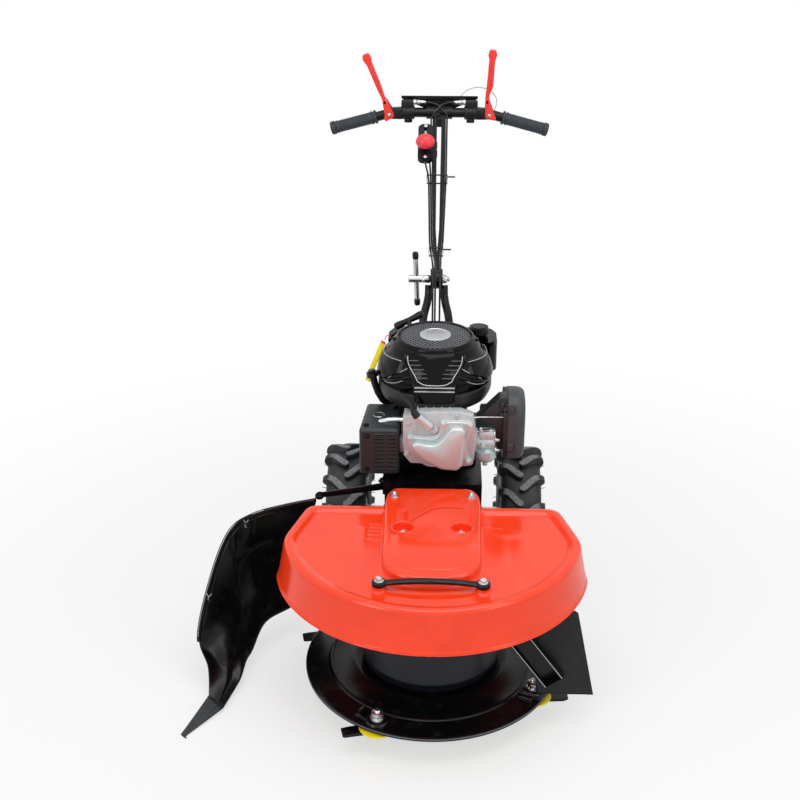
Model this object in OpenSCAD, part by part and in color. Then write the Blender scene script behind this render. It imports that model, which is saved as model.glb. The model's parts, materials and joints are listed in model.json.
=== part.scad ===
// Single-drum brush mower: walk-behind, vertical-shaft engine over two driven wheels,
// mowing drum with four swinging knives under a pressed deck.
// Frame: origin on the ground under the drum axis, +X to the right of someone who stands in
// front of the machine and looks at it, +Y to its rear, +Z up. Millimetres.

/* [Mowing drum] */
// Radius of the cutter disc
disc_r = 262.5; // [255:0.5:268]
// Height of the disc's flat centre above the ground
disc_z = 76; // [74:1:79]
// Drop of the disc from its flat centre to its rim
disc_drop = 14.5; // [11:0.5:16]
// Sheet thickness of the disc and the drum
disc_t = 3; // [2:0.5:4]
// Radius of the drum
drum_r = 141; // [134:1:146]
// Height of the drum's closed top
drum_top_z = 290; // [282:1:292]
// Distance of the knife bolts from the disc's rim
knife_inset = 29.5; // [27:0.5:33]
// Angle of the first knife bolt, from the front towards +X
knife_first = -26; // [-40:1:-10]
// Length of a knife from its bolt to its tip
knife_len = 72; // [60:1:80]
// Width of a knife
knife_w = 30; // [24:1:34]
// Thickness of a knife
knife_t = 4; // [3:0.5:5]
// Radius of the knives' pivot shoulder
shoulder_r = 8; // [7:0.5:9]
// Radius of the freewheeling skid dish
skid_r = 214; // [190:1:217]

/* [Deck] */
// Half width of the deck at its hem
hem_a = 320; // [314:1:330]
// Half length of the ellipse that the hem follows in front
hem_b = 305; // [300:1:315]
// Where that ellipse has its centre, behind the drum axis
hem_y = 40; // [34:1:46]
// Height of the hem above the ground
hem_z = 266; // [260:1:272]
// Height of the deck's rolled rim
rim_z = 356; // [353:1:360]
// How much narrower the rim is than the hem, on each side
flare = 19; // [12:1:24]
// Rear edge of the deck
deck_rear_y = 152; // [146:1:158]
// Half width of the straight rear edge
rear_half = 263; // [250:1:272]
// Height of the raised centre's top above the ground
plateau_z = 376.5; // [374:0.5:379]
// Half width of the raised centre
plateau_half = 96; // [94:1:100]
// Sheet thickness of the deck
deck_t = 2.5; // [2:0.5:3]

/* [Frame and wheels] */
// Half width of the belt case under the engine
case_half = 105; // [102:1:110]
// Half width of the case's nose under the deck
nose_half = 92; // [88:1:93]
// Height of the engine plate's top
plate_z = 374; // [372:0.5:376]
// Plate thickness of the frame
plate_t = 4; // [3:0.5:5]
// Outside radius of the tyres
wheel_r = 160; // [152:1:168]
// Radius of the rims over their lips
rim_r = 84; // [80:1:88]
// Lugs on each side of a tyre's tread
tyre_lugs = 14; // [12:1:16]
// Width of the tyres
tyre_w = 98; // [90:1:106]
// Distance from the centre plane to the middle of a tyre
half_track = 202; // [192:1:215]
// How far the axle lies behind the drum axis
axle_y = 456; // [452:1:462]
// Radius of the axle
axle_r = 12.5; // [11:0.5:14]

/* [Engine] */
// How far the crankshaft lies behind the drum axis
crank_y = 380; // [377:1:384]
// Radius of the crankshaft below the engine
crank_r = 12.7; // [11:0.1:14]
// Radius of the blower housing
shroud_r = 124; // [120:1:126]
// Height of the starter cover's top
ring_z = 648; // [644:1:652]
// Radius of the starter cover
ring_r = 84; // [80:1:88]
// Number of louvre rows in the muffler guard
louvre_rows = 10; // [6:1:11]
// Pitch of the muffler guard's louvres
louvre_pitch = 9.3; // [8:0.1:9.4]
// Number of cooling fins on the cylinder
fins = 8; // [5:1:9]

/* [Handlebar] */
// How far the handlebar pivot lies behind the drum axis
pivot_y = 660; // [655:1:668]
// Height of the handlebar pivot
pivot_z = 676; // [670:1:682]
// Slope of the column
column_slope = 30.2; // [28.6:0.1:31.8]
// Length of the column from its pivot to the crossbar
column_len = 566.5; // [558:0.5:575]
// Depth of the column's twin rails
rail_depth = 28; // [24:1:32]
// Outside half width across the twin rails
rails_half = 17.5; // [16.5:0.5:18.5]
// Gap between the twin rails
rails_gap = 11.5; // [9:0.5:13]
// Radius of the crossbar tube
bar_r = 12.5; // [11:0.5:13]
// Wall of the crossbar tube
bar_wall = 2; // [1.5:0.5:3]
// Half width of the crossbar's straight middle
bar_straight = 120; // [114:1:126]
// Downward slope of the crossbar's ends
bar_drop = 15; // [12:0.5:18]
// Radius of the grips
grip_r = 15.5; // [14.5:0.5:17]
// Length of a grip
grip_len = 115; // [105:1:125]
// Length of a clutch lever from its pin to its tip
lever_len = 158; // [148:1:168]
// Lean of the left and right clutch levers, outwards from upright
lever_lean = [22.6, 2]; // [0:0.1:25]
// Radius of the levers' pivot pins
pin_r = 4; // [3:0.5:5]

/* [Hidden] */
$fn = 64;
run_gap = 0.05;                                  // radial clearance of a shaft in its bore
free_gap = 0.3;                                  // clearance between pieces that pass each other

// Colours
paint_black = "#16171A";
plastic_black = "#1C1D20";
dark_grey = "#2A2C2F";
red_paint = "#E8352A";
cast_grey = "#A9ACAE";
bright = "#C8CBCE";
yellow = "#F2C400";
rubber_black = "#1A1A1B";
grip_grey = "#3D434B";

// Drum
spindle_r = 15;                                  // main journal of the spindle
stub_r = 12;                                     // ends of the spindle
foot_r = drum_r + 9;                             // flat centre of the disc, under the drum
knife_circle_r = disc_r - knife_inset;           // circle that the knife bolts stand on
rim_bottom = disc_z - disc_drop;                 // underside of the disc's rim
hub_r = 50;                                      // bore of the knife carrier, on the spindle's hub
carrier_t = 4;
mouth_r = 63;                                    // opening in the drum's top, round the housing
carrier_z = 52.8;                                // underside of the knife carrier
knife_z = carrier_z - free_gap - knife_t;        // underside of the knives
head_z = knife_z - free_gap - 6.5;               // underside of the knife bolts' heads
knife_bolt_r = 6;
pad_t = 5.3;                                     // pressed pads round the bolts
pad_z = disc_under(knife_circle_r - 13) + disc_t + 1.2 - pad_t;
knife_swing = [-50, 30, -35, 38];                // how far each knife hangs back from radial
skid_top = 39;
function station(i) = knife_first + 90 * i - 90; // polar angle of knife bolt i

// Frame
nose_top = plateau_z - deck_t - 16.5;            // top of the nose plate, under the deck's pockets
case_bottom = 306;
nose_front = -95;                                // front of the nose's full height
tongue_front = -152;                             // front of its low tongue, under the deck's floor
tongue_top = 342;
case_front = 205;
case_rear = 560;
belt_z = 338;                                    // mid plane of the drum belt
wheel_belt_z = 322;                              // mid plane of the wheel belt
belt_half = 7;                                   // half width of a pulley's groove
drum_pulley_r = 78;
crank_big_r = 42;
crank_small_r = 30;
input_y = axle_y + 40;                           // gearbox input shaft, behind the axle
input_pulley_r = 50;
input_r = 10;
idler_r = 15;
idler_pin_r = 5;
drum_idler_pin = [30, 150];                      // pivot of the drum belt's idler arm
drum_idler_arm = 55;
wheel_idler_pin = [-72, 520];                    // pivot of the wheel belt's idler arm
wheel_idler_arm = 82;
wheel_idler_lean = -4;

// Guards
board_t = 2;
arm_y = -136;                                    // middle of the flap's steel arm
flap_lean = 7.4;
flap_foot_z = 78;
flap_t = 5;

// Deck
deck_rear_bolts = [81, 138];
pocket_at = [59, 14];                            // round pockets in the raised centre
pocket_r = 20;
handle_at = [99, -172];                          // eyes of the lift handle
floor_z = rim_z - 7;                             // recessed floor inside the rim

// Engine
head_y = 214;                                    // rear face of the valve cover
head_z0 = 414;
tank_top = 622;
cap_at = [97, 457];
cap_r = 21.5;
guard_lo = [-160, 220, 384];
guard_hi = [-73, 347, 494];
guard_t = 2;
knob_at = [-137, 362, 556];                      // oil dipstick's knob
filler_bend = [-132, 361, 536];                  // last bend of the oil filler tube
filler_axis = unit(knob_at - filler_bend);
block_top = 490;
shroud_z = 518;                                  // underside of the blower housing

rope_axis = unit([-0.1, 0.75, 0.65]);            // way that the starter rope pulls out
rope_root = [-58, crank_y + 82, ring_z - 22];
grip_axis = unit([0.88, 0, 0.47]);               // way that the starter grip lies

// Handlebar
bar_y = pivot_y + column_len * cos(column_slope);
bar_z = pivot_z + column_len * sin(column_slope);
pin_x = bar_straight + 10;                       // clutch lever pins
pin_up = -2;                                     // their height over the tube's centre line
bar_end = 46 + grip_len;                         // end of the tube, from its bend
cheek_y = bar_r + 4.1;                           // inner face of a clutch lever's cheek
ear_x = 8.3;                                     // inner face of a fork ear
ear_t = 6;
ear_r = 24;
throttle_x = -34;
throttle_at = 0.76 * column_len;                 // the housing's middle up the column
throttle_half = 64;
throttle_floor = rail_depth / 2;
throttle_h = 16;
throttle_pin = [-8, 8];                          // its pin, up the slope and over the foot
cable_r = 2.25;
cable_sides = 8;

// ---- Helpers -------------------------------------------------------------------------

// Straight round rod from p to q
module rod(p, q, r) {
    d = q - p;
    translate(p)
        rotate([0, acos(d.z / norm(d)), atan2(d.y, d.x)])
            cylinder(r = r, h = norm(d));
}

// Round rod along the points of a path, with ball joints
module rod_path(pts, r) {
    for (i = [1 : len(pts) - 1]) rod(pts[i - 1], pts[i], r);
    for (i = [1 : 1 : len(pts) - 2]) translate(pts[i]) sphere(r = r);
}

// Rectangle w by h about the origin with true round corners
module round_rect(w, h, r) {
    square([w, h - 2 * r], center = true);
    square([w - 2 * r, h], center = true);
    for (x = [-1, 1], y = [-1, 1])
        translate([x * (w / 2 - r), y * (h / 2 - r)]) circle(r = r);
}

// Upright block from z0 to z1 with true round corners
module round_block(lo, hi, r) {
    translate([(lo.x + hi.x) / 2, (lo.y + hi.y) / 2, lo.z])
        linear_extrude(hi.z - lo.z) round_rect(hi.x - lo.x, hi.y - lo.y, r);
}

module box(lo, hi) {
    translate(lo) cube(hi - lo);
}

module mirrored_x() {
    children();
    mirror([1, 0, 0]) children();
}

// Hexagon head bolt, head upwards, its seat at z = 0
module hex_bolt(r, len, head_r, head_h) {
    cylinder(r = head_r, h = head_h, $fn = 6);
    translate([0, 0, -len]) cylinder(r = r, h = len + 1);
}

// Solid skin through rings of equal point count, closed by the first and the last ring
module loft(rings) {                             // rings run clockwise seen from the last one
    n = len(rings[0]);
    m = len(rings);
    pts = [for (ring = rings) each ring];
    sides = [for (j = [0 : m - 2], i = [0 : n - 1])
        [j * n + i, j * n + (i + 1) % n, (j + 1) * n + (i + 1) % n, (j + 1) * n + i]];
    polyhedron(pts, concat([[for (i = [n - 1 : -1 : 0]) i]], sides,
        [[for (i = [0 : n - 1]) (m - 1) * n + i]]), convexity = 8);
}

function unit(v) = v / norm(v);

// One ring of a swept tube, square to the path's direction
function tube_ring(p, dir, side, r, n) =
    let (u = unit(cross(dir, side)), v = cross(u, dir))
    [for (k = [0 : n - 1]) p + r * (cos(360 * k / n) * u + sin(360 * k / n) * v)];

// Tube along a path; side is a direction that the path never follows
module swept_tube(path, r, side, n = cable_sides) {
    last = len(path) - 1;
    loft([for (i = [0 : last])
        tube_ring(path[i], unit(path[min(i + 1, last)] - path[max(i - 1, 0)]), side, r, n)]);
}

// V pulley about Z: groove of the given outside radius, centred on height z
module v_pulley(r, z, bore) {
    difference() {
        translate([0, 0, z])
            rotate_extrude()
                polygon([[0, -belt_half], [r, -belt_half], [r, -belt_half + 1], [r - 9, -2.5],
                    [r - 9, 2.5], [r, belt_half - 1], [r, belt_half], [0, belt_half]]);
        translate([0, 0, z - belt_half - 1]) cylinder(r = bore, h = 2 * belt_half + 2);
    }
}

// Loop round two pulleys that stand on the Y axis, as a flat figure
module loop_area(r1, y1, r2, y2) {
    hull() {
        translate([0, y1]) circle(r = r1, $fn = 48);
        translate([0, y2]) circle(r = r2, $fn = 48);
    }
}

// V belt on the pulleys' groove sides
module belt(r1, y1, r2, y2, z) {
    translate([0, 0, z - 3])
        linear_extrude(6)
            difference() {
                loop_area(r1 + 7, y1, r2 + 7, y2);
                loop_area(r1 + free_gap, y1, r2 + free_gap, y2);
            }
}

// ---- Frame ---------------------------------------------------------------------------

module case_wall(x, y0, y1, top) {
    mirrored_x() box([x - plate_t, y0, case_bottom], [x, y1, top]);
}

module main_frame() color(paint_black) {
    difference() {
        union() {
            // nose: top, floor and walls
            box([-nose_half, nose_front, nose_top - plate_t], [nose_half, case_front, nose_top]);
            box([-nose_half, tongue_front, case_bottom], [nose_half, case_front, case_bottom + plate_t]);
            case_wall(nose_half, nose_front, case_front, nose_top);
            box([-nose_half, nose_front, case_bottom], [nose_half, nose_front + plate_t, nose_top]);
            case_wall(nose_half, tongue_front, nose_front + 1, tongue_top);
            box([-nose_half, tongue_front, case_bottom], [nose_half, tongue_front + plate_t, tongue_top]);
            // saddles that carry the deck's rear bolts
            mirrored_x()
                box([nose_half - 26, deck_rear_bolts.y - 16, nose_top - 1],
                    [nose_half, deck_rear_bolts.y + 16, plateau_z - deck_t]);
            // case under the engine
            box([-case_half, case_front, plate_z - plate_t], [case_half, case_rear, plate_z]);
            case_wall(case_half, case_front, case_rear, plate_z);
            mirrored_x()
                box([nose_half - plate_t, case_front - plate_t, case_bottom],
                    [case_half, case_front, plate_z]);
            box([-case_half, case_front - plate_t, nose_top - plate_t],
                [case_half, case_front, plate_z]);
            box([-case_half, case_rear - plate_t, case_bottom], [case_half, case_rear, plate_z]);
            // floor that the gearbox hangs from
            box([-case_half, axle_y - 36, case_bottom], [case_half, case_rear, case_bottom + plate_t]);
            // idler pins
            translate([drum_idler_pin.x, drum_idler_pin.y, belt_z + 9])
                cylinder(r = idler_pin_r, h = nose_top - belt_z - 9 - 1);
            translate([wheel_idler_pin.x, wheel_idler_pin.y, case_bottom + 1])
                cylinder(r = idler_pin_r, h = wheel_belt_z - case_bottom - 5);
        }
        // spindle, crankshaft and gearbox input pass through
        translate([0, 0, case_bottom - 1]) cylinder(r = 24, h = plate_t + 2);
        translate([0, crank_y, plate_z - plate_t - 1]) cylinder(r = 50, h = plate_t + 2);
        translate([0, input_y, case_bottom - 1]) cylinder(r = 20, h = plate_t + 2);
        // rear cable hole
        translate([0, 530, plate_z - plate_t - 1]) cylinder(r = 11, h = plate_t + 2);
        // deck bolts
        for (x = [-1, 1]) {
            translate([x * deck_rear_bolts.x, deck_rear_bolts.y, nose_top - 8])
                cylinder(r = 4.2, h = 40);
            translate([x * pocket_at.x, pocket_at.y, nose_top - plate_t - 1])
                cylinder(r = 4.2, h = plate_t + 2);
        }
    }
}

// ---- Mowing drum ---------------------------------------------------------------------

module spindle_housing() color(cast_grey) {
    difference() {
        union() {
            translate([0, 0, case_bottom - 10]) cylinder(r = 70, h = 10);
            translate([0, 0, 108]) cylinder(r = 40, h = case_bottom - 10 - 108);
            for (a = [45 : 90 : 315])
                rotate(a)
                    translate([36, -4, case_bottom - 40]) cube([24, 8, 31]);
        }
        translate([0, 0, 107]) cylinder(r = 22, h = 200);
        translate([0, 0, 107]) cylinder(r = 31, h = 21);
        translate([0, 0, case_bottom - 22]) cylinder(r = 31, h = 23);
    }
}

module bearing(z) {
    translate([0, 0, z])
        rotate_extrude()
            polygon([[spindle_r + run_gap, 0], [21, 0], [21, 2], [25, 2], [25, 0], [31, 0],
                [31, 18], [25, 18], [25, 16], [21, 16], [21, 18], [spindle_r + run_gap, 18]]);
}

module spindle_bearings() color(bright) {
    bearing(110);
    bearing(case_bottom - 22);
}

module spindle_shaft() color(bright) {
    rotate_extrude()
        polygon([[0, 8], [stub_r, 8], [stub_r, 44], [hub_r - 0.5, 50],
            [hub_r - 0.5, carrier_z + carrier_t], [hub_r + 10, carrier_z + carrier_t],
            [hub_r + 10, carrier_z + carrier_t + 5], [34, carrier_z + carrier_t + 5],
            [34, disc_z - 5], [drum_r - 16, disc_z - 5], [drum_r - 16, disc_z],
            [hub_r + 10, disc_z], [34, disc_z + 6],
            [28, 106], [spindle_r, 106], [spindle_r, 312], [stub_r, 312],
            [stub_r, 351], [0, 351]]);
}

module drum_pulley() color(dark_grey) {
    difference() {
        union() {
            v_pulley(drum_pulley_r, belt_z, 30);
            translate([0, 0, belt_z - 4]) cylinder(r = 60, h = 8);
            translate([0, 0, 313]) cylinder(r = 24, h = 34);
        }
        translate([0, 0, 300]) cylinder(r = stub_r, h = 60);
        for (a = [0 : 60 : 300])
            rotate(a) translate([44, 0, belt_z - 6]) cylinder(r = 9, h = 12);
    }
}

module drum() color(paint_black) {
    rotate_extrude($fn = 96)
        polygon([[mouth_r, drum_top_z - disc_t], [drum_r - 12, drum_top_z - disc_t],
            [drum_r - disc_t, drum_top_z - 12], [drum_r - disc_t, disc_z + 16],
            [drum_r - 9, disc_z + 2 * disc_t], [drum_r - 24, disc_z + 2 * disc_t],
            [drum_r - 24, disc_z + disc_t], [drum_r - 7, disc_z + disc_t],
            [drum_r - 1, disc_z + 9], [drum_r, disc_z + 15], [drum_r, drum_top_z - 11],
            [drum_r - 3, drum_top_z - 4], [drum_r - 11, drum_top_z],
            [mouth_r, drum_top_z]]);
}

// Height of the disc's underside at radius r
function disc_under(r) = disc_z - disc_drop * (r - foot_r) / (disc_r - foot_r);

module cutter_disc() color(paint_black) {
    step_r = 206;
    difference() {
        union() {
            rotate_extrude($fn = 120)
                polygon([[hub_r + 12, disc_z], [foot_r, disc_z], [step_r, disc_under(step_r) + 1.6],
                    [step_r + 4, disc_under(step_r + 4)], [disc_r - 6, disc_under(disc_r - 6)],
                    [disc_r - 3, rim_bottom - 0.5], [disc_r, rim_bottom - 0.5],
                    [disc_r, rim_bottom + disc_t + 1], [disc_r - 6, disc_under(disc_r - 6) + disc_t],
                    [step_r + 5, disc_under(step_r + 5) + disc_t],
                    [step_r + 1, disc_under(step_r + 1) + disc_t + 1.6],
                    [foot_r, disc_z + disc_t], [hub_r + 12, disc_z + disc_t]]);
            for (i = [0 : 3])
                rotate(station(i)) {
                    // pressed pad round the bolt and the ramp beside it
                    translate([knife_circle_r, 0, pad_z]) cylinder(r = 20, h = pad_t);
                    translate([knife_circle_r - 14, -44, pad_z])
                        rotate([90, 0, 90])
                            linear_extrude(28)
                                polygon([[0, 0], [4, 9.5], [15, 9.5], [27, 4.5], [30, 0]]);
                }
        }
        for (i = [0 : 3])
            rotate(station(i))
                translate([knife_circle_r, 0, pad_z - 6]) cylinder(r = knife_bolt_r, h = pad_t + 9);
    }
}

module knife_carrier() color(yellow) {
    difference() {
        translate([0, 0, carrier_z])
            linear_extrude(carrier_t)
                union() {
                    circle(r = disc_r - 34, $fn = 96);
                    for (i = [0 : 3])
                        rotate(station(i)) {
                            translate([knife_circle_r, 0]) circle(r = 41);
                            polygon([[150, -90], [knife_circle_r + 12, -39],
                                [knife_circle_r + 12, 39], [150, 90]]);
                        }
                }
        translate([0, 0, carrier_z - 1]) cylinder(r = hub_r, h = carrier_t + 2);
        for (i = [0 : 3])
            rotate(station(i))
                translate([knife_circle_r, 0, carrier_z - 1])
                    cylinder(r = knife_bolt_r, h = carrier_t + 2);
    }
}

module knife_bolts() color(bright) {
    for (i = [0 : 3])
        rotate(station(i))
            translate([knife_circle_r, 0, 0]) {
                translate([0, 0, head_z])
                    cylinder(r = 11, h = knife_z - free_gap - head_z, $fn = 6);
                translate([0, 0, head_z + 1]) cylinder(r = shoulder_r, h = carrier_z - head_z - 1);
                translate([0, 0, carrier_z - 1])
                    cylinder(r = knife_bolt_r, h = pad_z + pad_t + 16 - carrier_z);
                translate([0, 0, carrier_z + carrier_t])
                    cylinder(r = 12, h = disc_under(knife_circle_r + 12) - carrier_z - carrier_t);
                translate([0, 0, pad_z + pad_t]) cylinder(r = 13, h = 1.6);
                translate([0, 0, pad_z + pad_t + 1.6]) cylinder(r = 10.5, h = 9, $fn = 6);
            }
}

// Knife i, swung back about its bolt
module knife(i) color(paint_black) {
    rotate(station(i))
        translate([knife_circle_r, 0, knife_z])
            rotate(knife_swing[i])
                difference() {
                    linear_extrude(knife_t)
                        union() {
                            circle(r = knife_w / 2 + 1);
                            polygon([[0, -knife_w / 2 - 1], [knife_len - 10, -knife_w / 2],
                                [knife_len, -knife_w / 2 + 5], [knife_len, knife_w / 2 - 3],
                                [knife_len - 3, knife_w / 2], [0, knife_w / 2 + 1]]);
                        }
                    translate([0, 0, -1]) cylinder(r = shoulder_r + run_gap, h = knife_t + 2);
                    // ground cutting edges
                    for (s = [-1, 1])
                        translate([16, s * (knife_w / 2 + 1), knife_t])
                            rotate([s * 35, 0, 0])
                                translate([0, -5, -1.2]) cube([knife_len, 10, 4]);
                }
}

module knife_1() knife(0);
module knife_2() knife(1);
module knife_3() knife(2);
module knife_4() knife(3);

module skid_dish() color(dark_grey) {
    rotate_extrude($fn = 96)
        polygon([[0, 0], [84, 0], [130, 7], [180, 22], [skid_r - 8, skid_top - 6],
            [skid_r, skid_top - 4], [skid_r, skid_top], [skid_r - 8, skid_top - 2],
            [178, 26], [128, 11], [84, 4], [32, 4], [28, 34], [stub_r + run_gap, 34],
            [stub_r + run_gap, 7], [0, 7]]);
}

// ---- Deck ----------------------------------------------------------------------------

// Outline of the deck, drawn in by dx on the sides and dy at the front and rear, at height z
function deck_ring(dx, dy, z) = concat(
    [[rear_half - dx * 0.8, deck_rear_y - dy * 0.4, z]],
    [for (a = [8 : -7 : -188]) [(hem_a - dx) * cos(a), hem_y + (hem_b - dy) * sin(a), z]],
    [[-rear_half + dx * 0.8, deck_rear_y - dy * 0.4, z]]);

// Outline of the raised centre, grown by g, at height z
function plateau_ring(g, z) = concat(
    [[plateau_half - 6 + g, case_front - 6 + g * 0.4, z], [plateau_half + 8 + g, case_front - 22, z],
        [plateau_half + 8 + g, deck_rear_y - 10, z], [plateau_half + g, deck_rear_y - 40, z]],
    [for (a = [0 : -9 : -180]) [(plateau_half + g) * cos(a), -96 + (62 + g) * sin(a), z]],
    [[-plateau_half - g, deck_rear_y - 40, z], [-plateau_half - 8 - g, deck_rear_y - 10, z],
        [-plateau_half - 8 - g, case_front - 22, z],
        [-plateau_half + 6 - g, case_front - 6 + g * 0.4, z]]);

module deck_cover() color(red_paint) {
    t = deck_t;
    front = 12;
    difference() {
        union() {
            difference() {
                union() {
                    loft([deck_ring(flare + 30, front + 28, floor_z - t),
                        deck_ring(flare + 23, front + 22, floor_z - t),
                        deck_ring(flare + 16, front + 16, rim_z - t),
                        deck_ring(flare + 6, front + 6, rim_z - t),
                        deck_ring(flare + t, front + t, rim_z - 6),
                        deck_ring(t, t, hem_z), deck_ring(0, 0, hem_z),
                        deck_ring(0, 0, hem_z + 7), deck_ring(1.5, 1, hem_z + 8),
                        deck_ring(flare, front, rim_z - 4),
                        deck_ring(flare + 5, front + 5, rim_z + 1),
                        deck_ring(flare + 17, front + 17, rim_z),
                        deck_ring(flare + 22, front + 21, floor_z),
                        deck_ring(flare + 30, front + 28, floor_z)]);
                    loft([plateau_ring(6, floor_z - t), plateau_ring(5, floor_z + 2),
                        plateau_ring(1, plateau_z - 3), plateau_ring(-4, plateau_z)]);
                }
                // hollow under the raised centre
                loft([plateau_ring(6 - t, floor_z - t - 1), plateau_ring(5 - t, floor_z + 2),
                    plateau_ring(1 - t, plateau_z - 3 - t), plateau_ring(-4 - t, plateau_z - t)]);
            }
            // cups of the round pockets
            mirrored_x()
                translate([pocket_at.x, pocket_at.y, nose_top])
                    cylinder(r = pocket_r + t, h = plateau_z - nose_top - t / 2);
            // eyes under the lift handle
            mirrored_x()
                translate([handle_at.x, handle_at.y, floor_z - 0.5]) cylinder(r = 13, h = 13);
        }
        mirrored_x() {
            translate([pocket_at.x, pocket_at.y, nose_top + t]) cylinder(r = pocket_r, h = 40);
            translate([pocket_at.x, pocket_at.y, nose_top - 1]) cylinder(r = 4.2, h = 10);
            translate([deck_rear_bolts.x, deck_rear_bolts.y, plateau_z - 10]) cylinder(r = 4.2, h = 20);
            translate([handle_at.x, handle_at.y, floor_z - 10]) cylinder(r = 4.2, h = 40);
        }
        // rear opening for the belt case
        box([-nose_half - 7, 100, hem_z - 1], [nose_half + 7, case_front + 20, floor_z - t - 0.01]);
        box([-plateau_half - 8, case_front - 9, hem_z],
            [plateau_half + 8, case_front + 20, plateau_z - t - 3]);
    }
}

module deck_bolts() color(bright) {
    mirrored_x() {
        translate([deck_rear_bolts.x, deck_rear_bolts.y, plateau_z]) hex_bolt(4, 20, 7.5, 5.3);
        translate([pocket_at.x, pocket_at.y, nose_top + deck_t]) hex_bolt(4, 12, 7.5, 5.3);
        translate([handle_at.x, handle_at.y, floor_z + 19.5]) hex_bolt(4, 27, 7.5, 5.3);
    }
}

// Strap handle, slightly arched, with a flat eye at each end
module lift_handle() color(plastic_black) {
    rise = 5;
    span = handle_at.x - 15;
    arc_r = (span * span + rise * rise) / (2 * rise);
    difference() {
        translate([0, handle_at.y, floor_z + 12.5])
            union() {
                mirrored_x() translate([handle_at.x, 0, 0]) cylinder(r = 14, h = 7);
                intersection() {
                    translate([0, -6, 3.5 + rise - arc_r])
                        rotate([-90, 0, 0])
                            difference() {
                                cylinder(r = arc_r + 3.5, h = 12, $fn = 160);
                                translate([0, 0, -1]) cylinder(r = arc_r - 3.5, h = 14, $fn = 160);
                            }
                    box([-span - 3, -8, 0], [span + 3, 8, 20]);
                }
            }
        mirrored_x()
            translate([handle_at.x, handle_at.y, floor_z]) cylinder(r = 4.2, h = 40);
    }
}

// ---- Guards --------------------------------------------------------------------------

// Swath board: stations from the deck to the toe, [upper edge, lower edge]
board = [
    [[-254, 200, 330], [-262, 190, 110]],
    [[-318, 168, 332], [-312, 166, 76]],
    [[-383, 130, 330], [-365, 112, 70]],
    [[-425, 68, 322], [-387, 50, 40]],
    [[-464, 32, 224], [-396, 20, 34]],
    [[-490, 0, 108], [-401, -22, 22]],
    [[-470, -28, 52], [-408, -46, 16]],
    [[-461, -80, 18], [-427, -108, 8]],
    [[-500, -186, 3], [-492, -192, 1]]];

board_back = unit([-0.6, 1, 0]);                  // from the board's front face to its back face

// Point of the board's front face at station s, from 0 on its upper edge to 1 on its lower edge
function board_point(s, f) =
    let (a = board[s][0], b = board[s][1])
    a + (b - a) * f + 0.13 * norm(b - a) * sin(180 * f) * board_back;

// Section of the board at station s: front face, back face, rolled lip
function board_section(s, steps) =
    let (up = unit(board[s][0] - board[s][1]), roll = s < 7 ? 4.5 : 1.6,
        lip = board[s][0] + 0.5 * board_t * board_back)
    concat([for (k = [0 : steps]) board_point(s, k / steps)],
        [for (k = [steps : -1 : 0]) board_point(s, k / steps) + board_t * board_back],
        [for (a = [-40 : 40 : 200]) lip + roll * (cos(a) * board_back + (sin(a) + 0.8) * up)]);

// Bent sheet: every face is split along the same way on the front and on the back
module swath_board() color(paint_black) {
    steps = 5;
    rings = [for (s = [0 : len(board) - 1]) board_section(s, steps)];
    n = len(rings[0]);
    m = len(rings);
    sides = [for (j = [0 : m - 2], i = [0 : n - 1])
        let (a = j * n + i, b = j * n + (i + 1) % n, c = b + n, d = a + n)
        each (i > steps && i < 2 * steps + 2 ? [[a, b, d], [b, c, d]] : [[a, b, c], [a, c, d]])];
    polyhedron([for (ring = rings) each ring],
        concat([[for (i = [n - 1 : -1 : 0]) i]], sides, [[for (i = [0 : n - 1]) (m - 1) * n + i]]));
}

// Flat bar from the case's left side to the board's upper edge
module swath_board_arm() color(paint_black) {
    root = [-case_half, 240, 346];
    difference() {
        union() {
            translate(root) rotate(14) box([-154, -4, -11], [-2, 1, 11]);
            box([-case_half - 5, 226, 332], [-case_half, 268, 367]);
        }
        translate([-case_half - 8, 254, 351]) rotate([0, 90, 0]) cylinder(r = 4.2, h = 12);
    }
    translate([-case_half - 5, 254, 351]) rotate([0, -90, 0]) cylinder(r = 8, h = 6, $fn = 6);
}

// Steel channel, open to the front, from the nose's side down to the flap
module flap_arm() color(paint_black) {
    top = [nose_half, arm_y, 334];
    foot = [hem_a - 72, arm_y, 116];
    run = foot - top;
    difference() {
        translate(top)
            rotate([0, atan2(-run.z, run.x), 0])
                difference() {
                    box([-10, -9, -16], [norm(run), 9, 16]);
                    box([-11, -10, -13], [norm(run) + 1, 6.5, 13]);
                }
        box([0, arm_y - 20, 250], [nose_half, arm_y + 20, 400]);
        box([0, arm_y - 20, tongue_top], [200, arm_y + 20, 400]);
    }
    box([nose_half, arm_y - 12, 312], [nose_half + 5, arm_y + 12, tongue_top]);
}

module rubber_flap() color(rubber_black) {
    translate([0, arm_y + 9 + free_gap - 25 * tan(flap_lean), flap_foot_z])
        rotate([90 - flap_lean, 0, 0])
            translate([0, 0, -flap_t])
                linear_extrude(flap_t)
                    polygon([[hem_a - 106, 2], [hem_a + 9, 0], [hem_a - 29, 181], [hem_a - 36, 186],
                        [hem_a - 124, 186]]);
}

// ---- Running gear --------------------------------------------------------------------

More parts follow.
